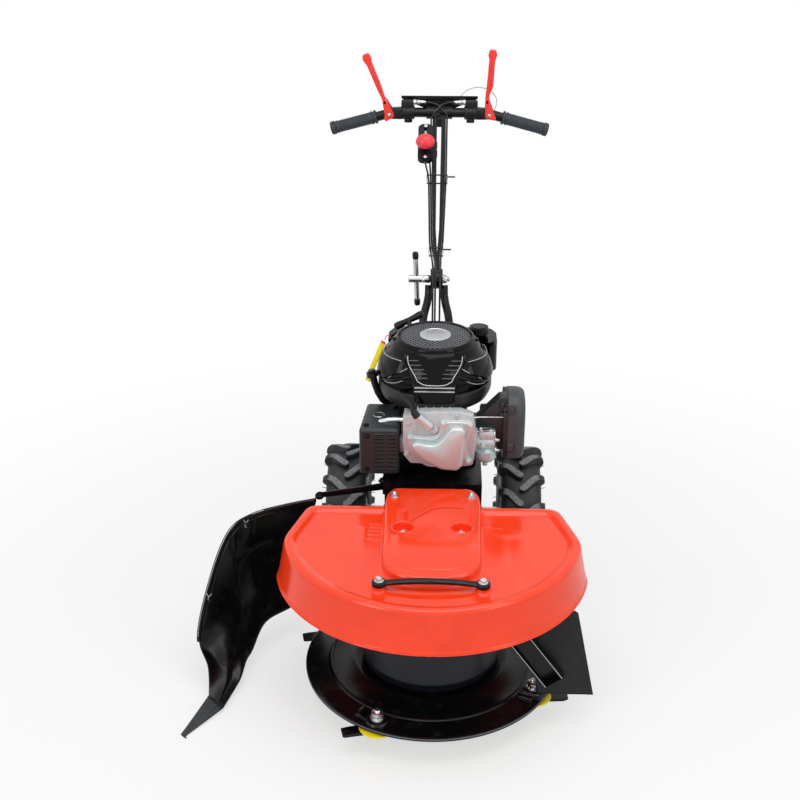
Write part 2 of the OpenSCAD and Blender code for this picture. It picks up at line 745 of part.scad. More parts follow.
module gearbox() color(cast_grey) {
    difference() {
        union() {
            translate([-34, axle_y, wheel_r]) rotate([0, 90, 0]) cylinder(r = 62, h = 68);
            translate([-62, axle_y, wheel_r]) rotate([0, 90, 0]) cylinder(r = 30, h = 124);
            mirrored_x()
                for (a = [0 : 60 : 300])
                    translate([34, axle_y, wheel_r]) rotate([a, 0, 0])
                        translate([0, -2.5, 0]) cube([20, 5, 50]);
            round_block([-30, input_y - 30, wheel_r - 20], [30, input_y + 30, 296], 14);
            round_block([-46, input_y - 46, 294], [46, input_y + 46, case_bottom], 10);
        }
        translate([-70, axle_y, wheel_r]) rotate([0, 90, 0])
            cylinder(r = axle_r + run_gap, h = 140);
        translate([0, input_y, 250]) cylinder(r = input_r + run_gap, h = 70);
    }
}

module gearbox_pulley() color(dark_grey) {
    translate([0, input_y, 0]) {
        v_pulley(input_pulley_r, wheel_belt_z, 5);
        translate([0, 0, 251]) cylinder(r = input_r, h = wheel_belt_z + 12 - 251);
        translate([0, 0, wheel_belt_z]) cylinder(r = 16, h = 14, $fn = 6);
    }
}

module axle() color(bright) {
    translate([-half_track - 50, axle_y, wheel_r]) rotate([0, 90, 0])
        cylinder(r = axle_r, h = 2 * half_track + 100);
    mirrored_x()
        translate([62 + free_gap, axle_y, wheel_r]) rotate([0, 90, 0]) cylinder(r = 22, h = 10);
    // washers and nuts that keep the wheels on
    mirrored_x()
        translate([half_track + 42 + free_gap, axle_y, wheel_r]) rotate([0, 90, 0]) {
            cylinder(r = 20, h = 3);
            cylinder(r = 15, h = 14, $fn = 6);
        }
}

// Pressed disc wheel about X, centred on the origin
module rim() color(paint_black) {
    difference() {
        union() {
            rotate([0, 90, 0])
                rotate_extrude($fn = 48)
                    polygon([[rim_r - 24, -40], [rim_r - 8, -44], [rim_r, -44], [rim_r, -40],
                        [rim_r - 11, -37], [rim_r - 19, -12], [rim_r - 19, 12], [rim_r - 11, 37],
                        [rim_r, 40], [rim_r, 44], [rim_r - 8, 44], [rim_r - 14, 40],
                        [rim_r - 23, 13], [rim_r - 28, 7], [46, 2], [34, -1], [34, -5], [46, -2],
                        [rim_r - 27, 3], [rim_r - 23, -12]]);
            rotate([0, 90, 0]) translate([0, 0, -42]) cylinder(r = 26, h = 84);
            rotate([0, 90, 0]) translate([0, 0, -6]) cylinder(r = 40, h = 6);
        }
        rotate([0, 90, 0]) translate([0, 0, -60]) cylinder(r = axle_r + run_gap, h = 120);
        for (a = [0 : 90 : 270])
            rotate([a + 45, 0, 0]) translate([-20, 0, 49]) rotate([0, 90, 0])
                cylinder(r = 5.5, h = 40);
    }
}

// Half of the tread: slanted lugs twisted round the carcass
module tread_half(turn) {
    depth = 15;
    linear_extrude(tyre_w / 2 - 4, twist = turn, slices = 3)
        difference() {
            union() {
                circle(r = wheel_r - depth, $fn = 44);
                for (i = [0 : tyre_lugs - 1])
                    rotate(i * 360 / tyre_lugs)
                        translate([wheel_r - depth - 4, -8.5])
                            polygon([[0, 0], [depth + 3.5, 2], [depth + 3.5, 15], [0, 17]]);
            }
            circle(r = wheel_r - 30, $fn = 44);
        }
}

// Lug tyre about X, centred on the origin
module tyre() color(rubber_black) {
    rotate([0, 90, 0])
        union() {
            tread_half(-12);
            rotate(180 / tyre_lugs) mirror([0, 0, 1]) tread_half(12);
            rotate_extrude($fn = 44)
                polygon([[rim_r + 1, -43], [rim_r + 10, -49], [rim_r + 30, -tyre_w / 2],
                    [wheel_r - 26, -tyre_w / 2 + 2], [wheel_r - 14, -36], [wheel_r - 12, 0],
                    [wheel_r - 14, 36], [wheel_r - 26, tyre_w / 2 - 2], [rim_r + 30, tyre_w / 2],
                    [rim_r + 10, 49], [rim_r + 1, 43], [rim_r + 6, 30], [wheel_r - 40, 30],
                    [wheel_r - 40, -30], [rim_r + 6, -30]]);
        }
}

module left_rim() translate([-half_track, axle_y, wheel_r]) rim();
module right_rim() translate([half_track, axle_y, wheel_r]) mirror([1, 0, 0]) rim();
module left_tyre() translate([-half_track, axle_y, wheel_r]) tyre();
module right_tyre() translate([half_track, axle_y, wheel_r]) mirror([1, 0, 0]) tyre();

module drive_belts() color(rubber_black) {
    belt(drum_pulley_r - 6, 0, crank_big_r - 6, crank_y, belt_z);
    belt(crank_small_r - 6, crank_y, input_pulley_r - 6, input_y, wheel_belt_z);
}

// Idler arm about its pin, with the roller dir steps above or below it
module idler(arm, arm_z, roller_z) {
    difference() {
        union() {
            translate([0, 0, arm_z])
                linear_extrude(3.4)
                    union() {
                        circle(r = 11);
                        translate([0, arm]) circle(r = 9);
                        translate([-8, 0]) square([16, arm]);
                    }
            translate([0, arm, roller_z - 7])
                cylinder(r = idler_r, h = 14);
            translate([0, arm, min(arm_z, roller_z)]) cylinder(r = 5, h = abs(roller_z - arm_z));
        }
        translate([0, 0, arm_z - 1]) cylinder(r = idler_pin_r + run_gap, h = 6);
    }
}

module drum_idler() color(bright)
    translate([drum_idler_pin.x, drum_idler_pin.y, 0])
        idler(drum_idler_arm, belt_z + 8.6, belt_z);

module wheel_idler() color(bright)
    translate([wheel_idler_pin.x, wheel_idler_pin.y, 0])
        rotate(180 - wheel_idler_lean)
            idler(wheel_idler_arm, case_bottom + plate_t + free_gap, wheel_belt_z + 0.5);

// ---- Engine --------------------------------------------------------------------------

module engine_block() color(dark_grey) {
    difference() {
        union() {
            round_block([-94, crank_y - 90, plate_z], [94, crank_y + 90, plate_z + 10], 24);
            round_block([-66, crank_y - 80, plate_z + 9], [66, crank_y + 80, 480], 24);
            round_block([-72, crank_y - 80, 478], [72, crank_y + 84, block_top], 24);
            translate([0, crank_y, block_top - 1]) cylinder(r = 52, h = 28);
            mirrored_x()
                for (y = [crank_y - 50 : 25 : crank_y + 50])
                    box([65, y - 2, plate_z + 9], [71, y + 2, 479]);
            // posts of the blower housing and lugs of the fuel tank
            mirrored_x() {
                for (y = [-74, 74])
                    translate([50, crank_y + y, block_top - 1])
                        cylinder(r = 7, h = shroud_z - block_top + 1);
                box([62, crank_y + 60, 478], [90, crank_y + 115, block_top]);
            }
            // oil filler tube
            swept_tube([[-60, 360, 472], [-72, 360, 476], [-98, 360, 485], [-116, 360, 500],
                [-126, 360.5, 518], filler_bend, knob_at - 1.3 * filler_axis], 8, [0, 1, 0], 14);
        }
        translate([0, crank_y, plate_z - 1]) cylinder(r = crank_r + run_gap, h = 160);
    }
}

module cylinder_fin(y) {
    translate([0, y, 462]) rotate([90, 0, 0]) linear_extrude(3) round_rect(134, 100, 22);
}

// Barrel with its fins, the head and both ports
module engine_cylinder() color(cast_grey) {
    base_y = crank_y - 80;
    pitch = (base_y - 3 - (head_y + 26)) / fins;
    translate([0, base_y, 450]) rotate([90, 0, 0]) cylinder(r = 42, h = base_y - head_y - 10);
    for (i = [1 : fins]) cylinder_fin(head_y + 26 + i * pitch);
    translate([10, head_y + 26, 472]) rotate([90, 0, 0])
        linear_extrude(26) round_rect(150, 112, 14);
    box([guard_hi.x, 236, 430], [-40, 262, 462]);
    box([40, 236, 436], [90, 268, 466]);
}

module valve_cover() color(bright) {
    flange = [[-22, 14], [2, 0], [18, -7], [51, -9], [62, 3], [76, 5], [81, 16], [74, 28], [72, 62],
        [78, 78], [84, 92], [82, 102], [76, 110], [22, 110], [15, 104], [12, 84], [6, 76], [-5, 72],
        [-41, 73], [-51, 76], [-56, 70], [-54, 54], [-50, 40], [-38, 28]];
    pan = [[-20, 24], [2, 11], [18, 3], [37, 1], [49, 1], [59, 9], [62, 20], [64, 74], [66, 86],
        [63, 95], [57, 98], [43, 98], [34, 95], [28, 86], [18, 73], [8, 62], [-4, 58], [-21, 60],
        [-31, 63], [-42, 60], [-46, 55], [-43, 47], [-35, 38]];
    translate([0, head_y, head_z0])
        rotate([90, 0, 0]) {
            linear_extrude(8) polygon(flange);
            linear_extrude(24) polygon(pan);
            for (p = [[-50, 68], [74, 12], [77, 102], [17, 104]])
                translate(p) cylinder(r = 5, h = 12, $fn = 6);
        }
}

module blower_housing() color(plastic_black) {
    t = 3;
    difference() {
        union() {
            translate([0, crank_y, 0])
                rotate_extrude($fn = 72)
                    polygon([[0, ring_z - 8], [ring_r, ring_z - 8], [ring_r + 8, ring_z - 12],
                        [ring_r + 17, 624], [shroud_r - 8, 598], [shroud_r, 566],
                        [shroud_r, 534], [shroud_r - 6, shroud_z], [0, shroud_z]]);
            // front panel over the cylinder
            hull() {
                translate([-56, crank_y - ring_r - 2, ring_z - 22]) cube([112, 10, 8]);
                translate([-34, 250, 524]) cube([68, 20, 8]);
                translate([-70, 272, shroud_z]) cube([140, 20, 8]);
                translate([-66, crank_y - 100, 600]) cube([132, 20, 4]);
            }
            // lip over the fins, eyelet of the starter rope
            round_block([-72, 244, 514], [72, 296, shroud_z + 8], 10);
            rod(rope_root - 12 * rope_axis, rope_root + (3 - free_gap) * rope_axis, 7);
        }
        translate([0, crank_y, 0])
            rotate_extrude($fn = 72)
                polygon([[0, ring_z - 8 - t], [ring_r - 2, ring_z - 8 - t],
                    [ring_r + 15 - t, 623], [shroud_r - 8 - t, 597], [shroud_r - t, 566],
                    [shroud_r - t, 534], [shroud_r - 6 - t, shroud_z + t], [84, shroud_z + t],
                    [84, 512], [0, 512]]);
        translate([0, crank_y, ring_z - 20]) cylinder(r = 62, h = 30);
        // slats of the front panel
        mirrored_x()
            for (k = [0 : 4])
                translate([27, 232, 572 + 11 * k])
                    rotate([-24, 0, 0]) cube([22 + 2 * k, 40, 3.2]);
    }
}

module starter_cover() color(plastic_black) {
    hub = 36;
    translate([0, crank_y, ring_z - 8]) {
        rotate_extrude($fn = 72)
            polygon([[ring_r - 9, 0], [ring_r, 0], [ring_r, 5], [ring_r - 3, 8], [ring_r - 7, 8],
                [ring_r - 9, 6]]);
        cylinder(r = hub, h = 6);
        for (r = [hub + 12, hub + 24])
            difference() {
                translate([0, 0, 1]) cylinder(r = r + 1.2, h = 4);
                cylinder(r = r - 1.2, h = 6);
            }
        for (a = [0 : 15 : 345])
            rotate(a) translate([hub - 2, -1.4, 1]) cube([ring_r - hub - 5, 2.8, 4]);
    }
}

// Recoil grip with the end of its rope, behind the starter cover
module starter_grip() color(plastic_black) {
    mid = rope_root + 24 * rope_axis;
    rod(rope_root + 3 * rope_axis, mid, 4);
    rod(mid - 29 * grip_axis, mid + 29 * grip_axis, 8.5);
    for (s = [-1, 1]) translate(mid + 29 * s * grip_axis) sphere(r = 8);
}

module crankshaft() color(bright) {
    translate([0, crank_y, 0]) {
        translate([0, 0, 312]) cylinder(r = crank_r, h = 518 - 312);
        translate([0, 0, 517]) cylinder(r = 16, h = 118);
        // flywheel with its fan blades
        translate([0, 0, 540]) cylinder(r = 98, h = 16);
        for (a = [0 : 22.5 : 337.5])
            rotate(a) translate([56, -1.5, 555]) cube([36, 3, 26]);
        translate([0, 0, 555]) cylinder(r = 40, h = 20);
        translate([0, 0, 574]) cylinder(r = 30, h = 50);
    }
}

module crank_pulley() color(dark_grey) {
    translate([0, crank_y, 0]) {
        v_pulley(crank_big_r, belt_z, crank_r);
        v_pulley(crank_small_r, wheel_belt_z, crank_r);
        difference() {
            translate([0, 0, wheel_belt_z + belt_half - 1])
                cylinder(r = 26, h = belt_z - wheel_belt_z - 2 * belt_half + 2);
            translate([0, 0, 300]) cylinder(r = crank_r, h = 60);
        }
    }
}

module fuel_tank() color(plastic_black) {
    difference() {
        union() {
            round_block([-106, crank_y + 26, 548], [138, crank_y + 132, tank_top - 12], 30);
            round_block([-100, crank_y + 32, tank_top - 13], [132, crank_y + 126, tank_top - 6], 26);
            translate([cap_at.x, cap_at.y, tank_top - 7]) cylinder(r = 18, h = 7);
        }
        translate([0, crank_y, 500]) cylinder(r = shroud_r + free_gap, h = 160);
    }
    // brackets down to the block
    mirrored_x() box([72, crank_y + 104, block_top], [89, crank_y + 114, 549]);
}

module fuel_cap() color(plastic_black) {
    translate([cap_at.x, cap_at.y, tank_top + free_gap]) {
        difference() {
            cylinder(r = cap_r, h = 15);
            for (a = [0 : 20 : 340])
                rotate(a) translate([cap_r + 1.5, 0, -1]) cylinder(r = 2.6, h = 14);
        }
        translate([0, 0, 14]) cylinder(r = cap_r - 5, h = 3);
    }
}

module muffler() color(dark_grey) {
    round_block(guard_lo + [9, 9, 9], guard_hi - [0, 9, 9], 16);
    // tail pipe in the guard's round recess
    translate([(guard_lo.x + guard_hi.x) / 2 - 6, 292, guard_hi.z - 10]) cylinder(r = 8, h = 9);
}

module muffler_guard() color(dark_grey) {
    difference() {
        box(guard_lo, guard_hi - [1, 0, 0]);
        box(guard_lo + [guard_t, guard_t, guard_t], guard_hi + [1, 20, -guard_t]);
        for (k = [0 : louvre_rows - 1], x = [-127, -101])
            translate([x, guard_lo.y - 1, guard_hi.z - 15 - k * louvre_pitch])
                cube([21, guard_t + 2, 4]);
        translate([(guard_lo.x + guard_hi.x) / 2 - 6, 292, guard_hi.z - 3]) cylinder(r = 14, h = 4);
    }
    // feet on the engine plate's side
    box([guard_hi.x - 24, guard_lo.y + 20, guard_lo.z - 10],
        [guard_hi.x - 8, guard_lo.y + 40, guard_lo.z + 1]);
}

module carburettor() color(cast_grey) {
    translate([90, 258, 451]) rotate([0, 90, 0]) cylinder(r = 18, h = 40);
    translate([90, 258, 451]) rotate([0, 90, 0]) cylinder(r = 23, h = 4);
    translate([112, 254, 406]) {
        cylinder(r = 23, h = 28);
        translate([0, 0, 27]) cylinder(r = 15, h = 14);
        translate([0, 0, -8]) cylinder(r = 6, h = 9, $fn = 6);
    }
    box([98, 248, 462], [126, 263, 480]);
}

module air_cleaner_base() color(plastic_black) {
    difference() {
        union() {
            translate([0, 300, 0])
                rotate([90, 0, 0])
                    linear_extrude(38)
                        polygon([[92, 432], [158, 427], [158, 552], [139, 550], [97, 505], [92, 500]]);
            box([92, 299, 440], [158, 352, 500]);
        }
        translate([0, crank_y, 500]) cylinder(r = shroud_r + free_gap, h = 160);
        box([88, 240, 420], [136, 282, 481]);
    }
    // elbow down to the carburettor
    box([130, 236, 438], [158, 300, 477]);
}

// Door-like outline of the air cleaner's cover, drawn in by g: Y across, Z up
module cleaner_outline(g) {
    hull()
        for (s = [-1, 1]) {
            translate([306 + s * 36, 427]) circle(r = 20 - g);
            translate([306 + s * 8, 512]) circle(r = 48 - g);
        }
}

module air_cleaner_cover() color(dark_grey) {
    depth = 38;
    translate([158, 0, 0])
        rotate([90, 0, 90]) {
            difference() {
                union() {
                    linear_extrude(depth - 12) cleaner_outline(0);
                    translate([0, 0, depth - 13]) linear_extrude(8) cleaner_outline(4);
                    translate([0, 0, depth - 6]) linear_extrude(6) cleaner_outline(10);
                }
                translate([0, 0, -1]) linear_extrude(depth - 12) cleaner_outline(4);
            }
            // filter block on its seat
            linear_extrude(22) cleaner_outline(16);
        }
}

// Plug, its boot and the lead up to the coil under the blower housing
module spark_plug() color(bright) {
    difference() {
        union() {
            rod([2, head_y + 3, 497], [-12, 209, 512], 7);
            rod([-9, 209.5, 509], [-37, 200, 538], 8);
        }
        box([-40, head_y - free_gap, 470], [30, head_y + 20, 540]);
    }
    rod([-35, 200.5, 536], [-43, 198, 550], 10);
    swept_tube([[-41, 199, 547], [-47, 203, 557], [-58, 222, 563], [-70, 250, 562],
        [-78.5, 279, 558]], 3.5, [0, 0, 1]);
}

module dipstick() color(plastic_black) {
    rod(knob_at - filler_axis, knob_at + 9 * filler_axis, 13);
    rod(knob_at + 8 * filler_axis, knob_at + 14 * filler_axis, 8);
}

// ---- Handlebar -----------------------------------------------------------------------

module handlebar_fork() color(paint_black) {
    mirrored_x() {
        translate([ear_x, pivot_y, pivot_z]) rotate([0, 90, 0])
            difference() {
                cylinder(r = ear_r, h = ear_t);
                translate([0, 0, -1]) cylinder(r = 6.5, h = ear_t + 2);
            }
        swept_tube([[18, pivot_y - 1, pivot_z - 15], [18, pivot_y - 4, pivot_z - 26],
            [18.5, pivot_y - 9, pivot_z - 38], [22, pivot_y - 20, pivot_z - 55],
            [28, pivot_y - 32, pivot_z - 75], [34, pivot_y - 48, pivot_z - 110], [38, 590, 500],
            [44, 545, plate_z + 4]], 9.5, [1, 0, 0], 16);
        box([24, 526, plate_z], [64, 558, plate_z + 8]);
    }
}

module clamp_screw() color(bright) {
    y = pivot_y;
    z = pivot_z;
    rod([-68, y, z], [-ear_x - ear_t - free_gap, y, z], 9.5);
    rod([-20, y, z], [24, y, z], 6);
    translate([ear_x + ear_t + free_gap, y, z]) rotate([0, 90, 0]) cylinder(r = 10, h = 8, $fn = 6);
    translate([ear_x + ear_t + 7, y, z]) sphere(r = 7.2);
    rod([-49.5, y, z - 65], [-49.5, y, z + 65], 6);
    for (s = [-1, 1]) rod([-49.5, y, z + s * 56], [-49.5, y, z + s * 68], 7.5);
}

// Puts its children in the column's frame: X across, Y up the slope, Z square to it
module on_column() {
    translate([0, pivot_y, pivot_z]) rotate([column_slope, 0, 0]) children();
}

// Outside half width of the column at the fraction t of its length
function rail_edge(t) = lookup(t, [[0.1, 6], [0.2, 11], [0.6, rails_half - 0.5], [1, rails_half]]);

function both_sides(half) = concat(half,
    [for (k = [len(half) - 1 : -1 : 0]) [-half[k].x, half[k].y]]);

module column() color(paint_black) {
    top = column_len - 16;
    outer = [[7, ear_r - 4], for (t = [0.1, 0.2, 0.6]) [rail_edge(t), t * column_len],
        [rails_half, top]];
    slot = [[0.3, 0.135 * column_len], [4, 0.26 * column_len], [rails_gap / 2, 0.93 * column_len]];
    on_column()
        translate([0, 0, -rail_depth / 2])
            linear_extrude(rail_depth)
                difference() {
                    polygon(both_sides(outer));
                    polygon(both_sides(slot));
                }
    // toothed hub between the fork's ears
    difference() {
        rod([-ear_x + free_gap, pivot_y, pivot_z], [ear_x - free_gap, pivot_y, pivot_z], ear_r - 1);
        rod([-30, pivot_y, pivot_z], [30, pivot_y, pivot_z], 6.5);
    }
    // saddle round the crossbar
    difference() {
        rod([-34, bar_y, bar_z], [34, bar_y, bar_z], bar_r + 4);
        rod([-40, bar_y, bar_z], [40, bar_y, bar_z], bar_r);
    }
    // dash plate behind the crossbar
    translate([0, bar_y + bar_r + 5, bar_z])
        rotate([90, 0, 0])
            linear_extrude(3)
                polygon(both_sides([[100, 40], [100, 33], [24, 2], [10, -3]]));
    box([-12, bar_y, bar_z + bar_r + 1], [12, bar_y + bar_r + 3, bar_z + 30]);
}

// Point on the crossbar's right-hand end, s along it from the bend
function bar_point(s, up = 0) = [bar_straight + s * cos(bar_drop) + up * sin(bar_drop), bar_y,
    bar_z - s * sin(bar_drop) + up * cos(bar_drop)];

// Middle line of one bend of the crossbar and the end of the tube, over by past it
function bar_side(side, over) =
    let (bend_r = 60, start = bar_straight - bend_r * tan(bar_drop / 2), tip = bar_point(bar_end + over))
    concat([for (k = [0 : 3]) let (a = bar_drop * k / 3)
            [side * (start + bend_r * sin(a)), bar_y, bar_z - bend_r * (1 - cos(a))]],
        [[side * tip.x, tip.y, tip.z]]);

// The crossbar as a solid of radius r
module bar_shape(r, over = 0) {
    left = bar_side(-1, over);
    swept_tube(concat([for (k = [4 : -1 : 0]) left[k]], bar_side(1, over)), r, [0, 1, 0], 32);
}

module handlebar_tube() color(paint_black) {
    difference() {
        bar_shape(bar_r);
        bar_shape(bar_r - bar_wall, 1);
    }
}

module grips() color(grip_grey) {
    mirrored_x()
        difference() {
            union() {
                rod(bar_point(46), bar_point(bar_end + 5), grip_r);
                rod(bar_point(46), bar_point(51), grip_r + 2);
                rod(bar_point(57), bar_point(60), grip_r + 1.5);
                rod(bar_point(bar_end + 1), bar_point(bar_end + 5), grip_r + 1.5);
            }
            rod(bar_point(40), bar_point(bar_end), bar_r);
        }
}

// Clevis for a clutch lever, its clamp block and the barrel adjuster above it
module lever_bracket() {
    ear = bar_r + 0.6;
    difference() {
        union() {
            rod([65, bar_y, bar_z], [98, bar_y, bar_z], bar_r + 5);
            box([70, bar_y - 8, bar_z - 25], [92, bar_y + 8, bar_z]);
            box([95, bar_y - ear - 3.2, bar_z - 15], [102, bar_y + ear + 3.2, bar_z + 12]);
            for (y = [bar_y - ear - 3.2, bar_y + ear])
                box([98, y, bar_z - 15], [pin_x + 11, y + 3.2, bar_z + 10]);
        }
        bar_shape(bar_r + run_gap);
        rod([60, bar_y, bar_z - 19], [100, bar_y, bar_z - 19], 3.2);
    }
    // pin ends
    for (s = [-1, 1])
        rod([pin_x, bar_y + s * (ear + 3), bar_z + pin_up],
            [pin_x, bar_y + s * (cheek_y + 5), bar_z + pin_up], pin_r);
    // adjuster
    box([67, bar_y - 5, bar_z + 13], [76, bar_y + 5, bar_z + 34]);
    rod([45, bar_y, bar_z + 27], [68, bar_y, bar_z + 27], 6.5);
}

module lever_brackets() color(paint_black) {
    lever_bracket();
    mirror([1, 0, 0]) lever_bracket();
}

// Right-hand clutch lever: two cheeks astride the clevis, a bridge and the paddle
module clutch_lever(lean, root) {
    translate([pin_x, bar_y, bar_z + pin_up])
        rotate([0, lean, 0])
            rotate([90, 0, 0])
                difference() {
                    union() {
                        for (y = [-cheek_y - 3, cheek_y])
                            translate([0, 0, y])
                                linear_extrude(3)
                                    union() {
                                        circle(r = 12);
                                        polygon([[4, -11], [16, -14], [18, -6], [12, 2],
                                            [root + 5, 38], [root - 5, 38], [-12, 2]]);
                                    }
                        translate([0, 0, -cheek_y - 3])
                            linear_extrude(2 * cheek_y + 6)
                                translate([root - 5, 28]) square([9, 12]);
                        translate([0, 0, -8])
                            linear_extrude(16)
                                polygon([[root - 5, 30], [root - 5, 48], [root / 2 - 8, 72],
                                    [-9, lever_len - 10], [-6, lever_len], [6, lever_len],
                                    [9, lever_len - 7], [7, 72], [root + 5, 48], [root + 5, 30]]);
                    }
                    translate([0, 0, -30]) cylinder(r = pin_r + run_gap, h = 60);
                }
}

module left_lever() color(red_paint) mirror([1, 0, 0]) clutch_lever(lever_lean[0], 0);
module right_lever() color(red_paint) clutch_lever(lever_lean[1], -7);

module throttle_housing() color(plastic_black) {
    on_column()
        translate([throttle_x, throttle_at, throttle_floor]) {
            difference() {
                union() {
                    translate([0, 0, 0]) linear_extrude(throttle_h - 3)
                        round_rect(38, 2 * throttle_half, 14);
                    translate([0, 0, throttle_h - 4]) linear_extrude(4)
                        round_rect(33, 2 * throttle_half - 5, 12);
                }
                translate([0, 0, 2.5]) linear_extrude(throttle_h - 5) round_rect(30, 96, 8);
                translate([0, 2, 10]) linear_extrude(throttle_h) square([8, 90], center = true);
            }
            rod([-16, throttle_pin.x, throttle_pin.y], [16, throttle_pin.x, throttle_pin.y], 2.5);
        }
    // clip round the left rail
    on_column()
        difference() {
            box([-rails_half - 3, throttle_at - 12, -rail_depth / 2 - 3],
                [-rails_gap / 2 + 2, throttle_at + 12, throttle_floor + 1]);
            box([-rails_half, throttle_at - 20, -rail_depth / 2],
                [0, throttle_at + 20, rail_depth / 2]);
        }
}

// Throttle lever: hub on the housing's pin, stem through the slot, oval knob
module throttle_lever() color(red_paint) {
    on_column()
        translate([throttle_x, throttle_at + throttle_pin.x, throttle_floor + throttle_pin.y])
            rotate([30, 0, 0]) {
                difference() {
                    union() {
                        translate([-3, 0, 0]) rotate([0, 90, 0]) cylinder(r = 5, h = 6);
                        cylinder(r = 2.8, h = 24);
                    }
                    translate([-4, 0, 0]) rotate([0, 90, 0]) cylinder(r = 2.5 + run_gap, h = 8);
                }
                translate([0, 0, 36])
                    rotate_extrude()
                        polygon([for (a = [-90 : 12 : 90]) [max(0, 26 * cos(a)), 19 * sin(a)]]);
            }
}

// Point beside the column: t of its length up, x across, h out of its middle plane
function along(t, x, h) = [x,
    pivot_y + t * column_len * cos(column_slope) - h * sin(column_slope),
    pivot_z + t * column_len * sin(column_slope) + h * cos(column_slope)];

// The same, at a gap beside the column's edge on side s
function beside(t, s, h, gap = 2.6) = along(t, s * (rail_edge(t) + gap), h);

// The stretch where a cable passes the hub between the fork's ears
function past_hub(s, gap = 2.6) =
    [for (p = [[0.26, 4], [0.2, 6], [0.14, 9]]) beside(p[0], s, p[1], gap)];

// The stretch where it drops in front of the pivot, towards the engine plate
function past_pivot(x, back = 0) =
    [for (p = [[24, 26], [31, -6], [34, -22]]) [x, pivot_y - p[0] - back, pivot_z + p[1]]];

// Cable routes, from the adjusters and the throttle down to the pivot
left_cable = [[-44.3, bar_y, bar_z + 27], [-24, bar_y - 3, bar_z + 27],
    [-4, bar_y - 12, bar_z + 23], [12, bar_y - 24, bar_z + 8], beside(0.955, 1, 17.5, 3.2),
    beside(0.92, 1, 8, 3), beside(0.8, 1, 2), beside(0.6, 1, 0), beside(0.4, 1, 0),
    each past_hub(1), along(0.1, 9.5, 20), along(0.04, 9, 30), each past_pivot(8)];
right_cable = [[44.3, bar_y, bar_z + 27], [24, bar_y - 6, bar_z + 28], [5, bar_y - 21, bar_z + 24],
    [-12, bar_y - 33, bar_z + 8], beside(0.94, -1, 14, 3.4), beside(0.9, -1, 6, 3.6),
    along(0.82, -23.3, 2), along(0.7, -23.3, 1), beside(0.6, -1, 0), beside(0.4, -1, 0),
    each past_hub(-1), along(0.1, -8, 21), along(0.04, -4, 30), each past_pivot(-3)];
throttle_cable = [along(0.76 - (throttle_half + 1) / column_len, throttle_x, 22),
    along(0.63, -32, 18), along(0.6, -27, 8), beside(0.56, -1, 0, 7.5), beside(0.4, -1, 0, 7.5),
    each past_hub(-1, 7.5), along(0.1, -14, 22), along(0.04, -10, 32), each past_pivot(-8.6, 2)];
cable_side = [0, -sin(column_slope), cos(column_slope)];

module cable_tie(t, left, right) {
    on_column()
        translate([0, t * column_len - 2, 0]) {
            difference() {
                box([left - 1.2, 0, -15.6], [right + 1.2, 4, 15.6]);
                box([left, -1, -14.4], [right, 5, 14.4]);
            }
            box([right, 0, 8], [right + 20, 1.5, 12]);
        }
}

module upper_cables() color(rubber_black) {
    swept_tube(left_cable, cable_r, cable_side);
    swept_tube(right_cable, cable_r, cable_side);
    swept_tube(throttle_cable, cable_r, cable_side);
    cable_tie(0.575, -28, 22);
    cable_tie(0.15, -18.8, 13.8);
}

module lower_cables() color(rubber_black) {
    for (x = [[8, 6.5], [-3, -0.5], [-8.5, -7]])
        swept_tube([[x[0], pivot_y - (x[0] < -5 ? 36 : 34), pivot_z - 22 - free_gap],
            [x[0], 618, 600], [x[0], 596, 540], [x[0], 572, 480], [(x[0] + x[1]) / 2, 545, 420],
            [x[1], 530, plate_z - 2], [x[1], 530, plate_z - 16]], cable_r, cable_side);
}

main_frame();
spindle_housing();
spindle_bearings();
spindle_shaft();
drum_pulley();
drum();
cutter_disc();
knife_carrier();
knife_bolts();
knife_1();
knife_2();
knife_3();
knife_4();
skid_dish();
deck_cover();
deck_bolts();
lift_handle();
swath_board();
swath_board_arm();
flap_arm();
rubber_flap();
gearbox();
gearbox_pulley();
axle();
left_rim();
left_tyre();
right_rim();
right_tyre();
drive_belts();
drum_idler();
wheel_idler();
engine_block();
engine_cylinder();
valve_cover();
blower_housing();
starter_cover();
starter_grip();
crankshaft();
crank_pulley();
fuel_tank();
fuel_cap();
muffler();
muffler_guard();
carburettor();
air_cleaner_base();
air_cleaner_cover();
spark_plug();
dipstick();
handlebar_fork();
clamp_screw();
column();
handlebar_tube();
grips();
lever_brackets();
left_lever();
right_lever();
throttle_housing();
throttle_lever();
upper_cables();
lower_cables();
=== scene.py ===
"""Single-drum brush mower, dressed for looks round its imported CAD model.

Metres. Origin on the ground under the drum axis, +X to the right of someone standing in front,
+Y to the rear, +Z up. Lengths in the tables below are written in millimetres and scaled by MM.
"""

import json
import math

import bmesh
import bpy
from mathutils import Matrix, Vector, noise


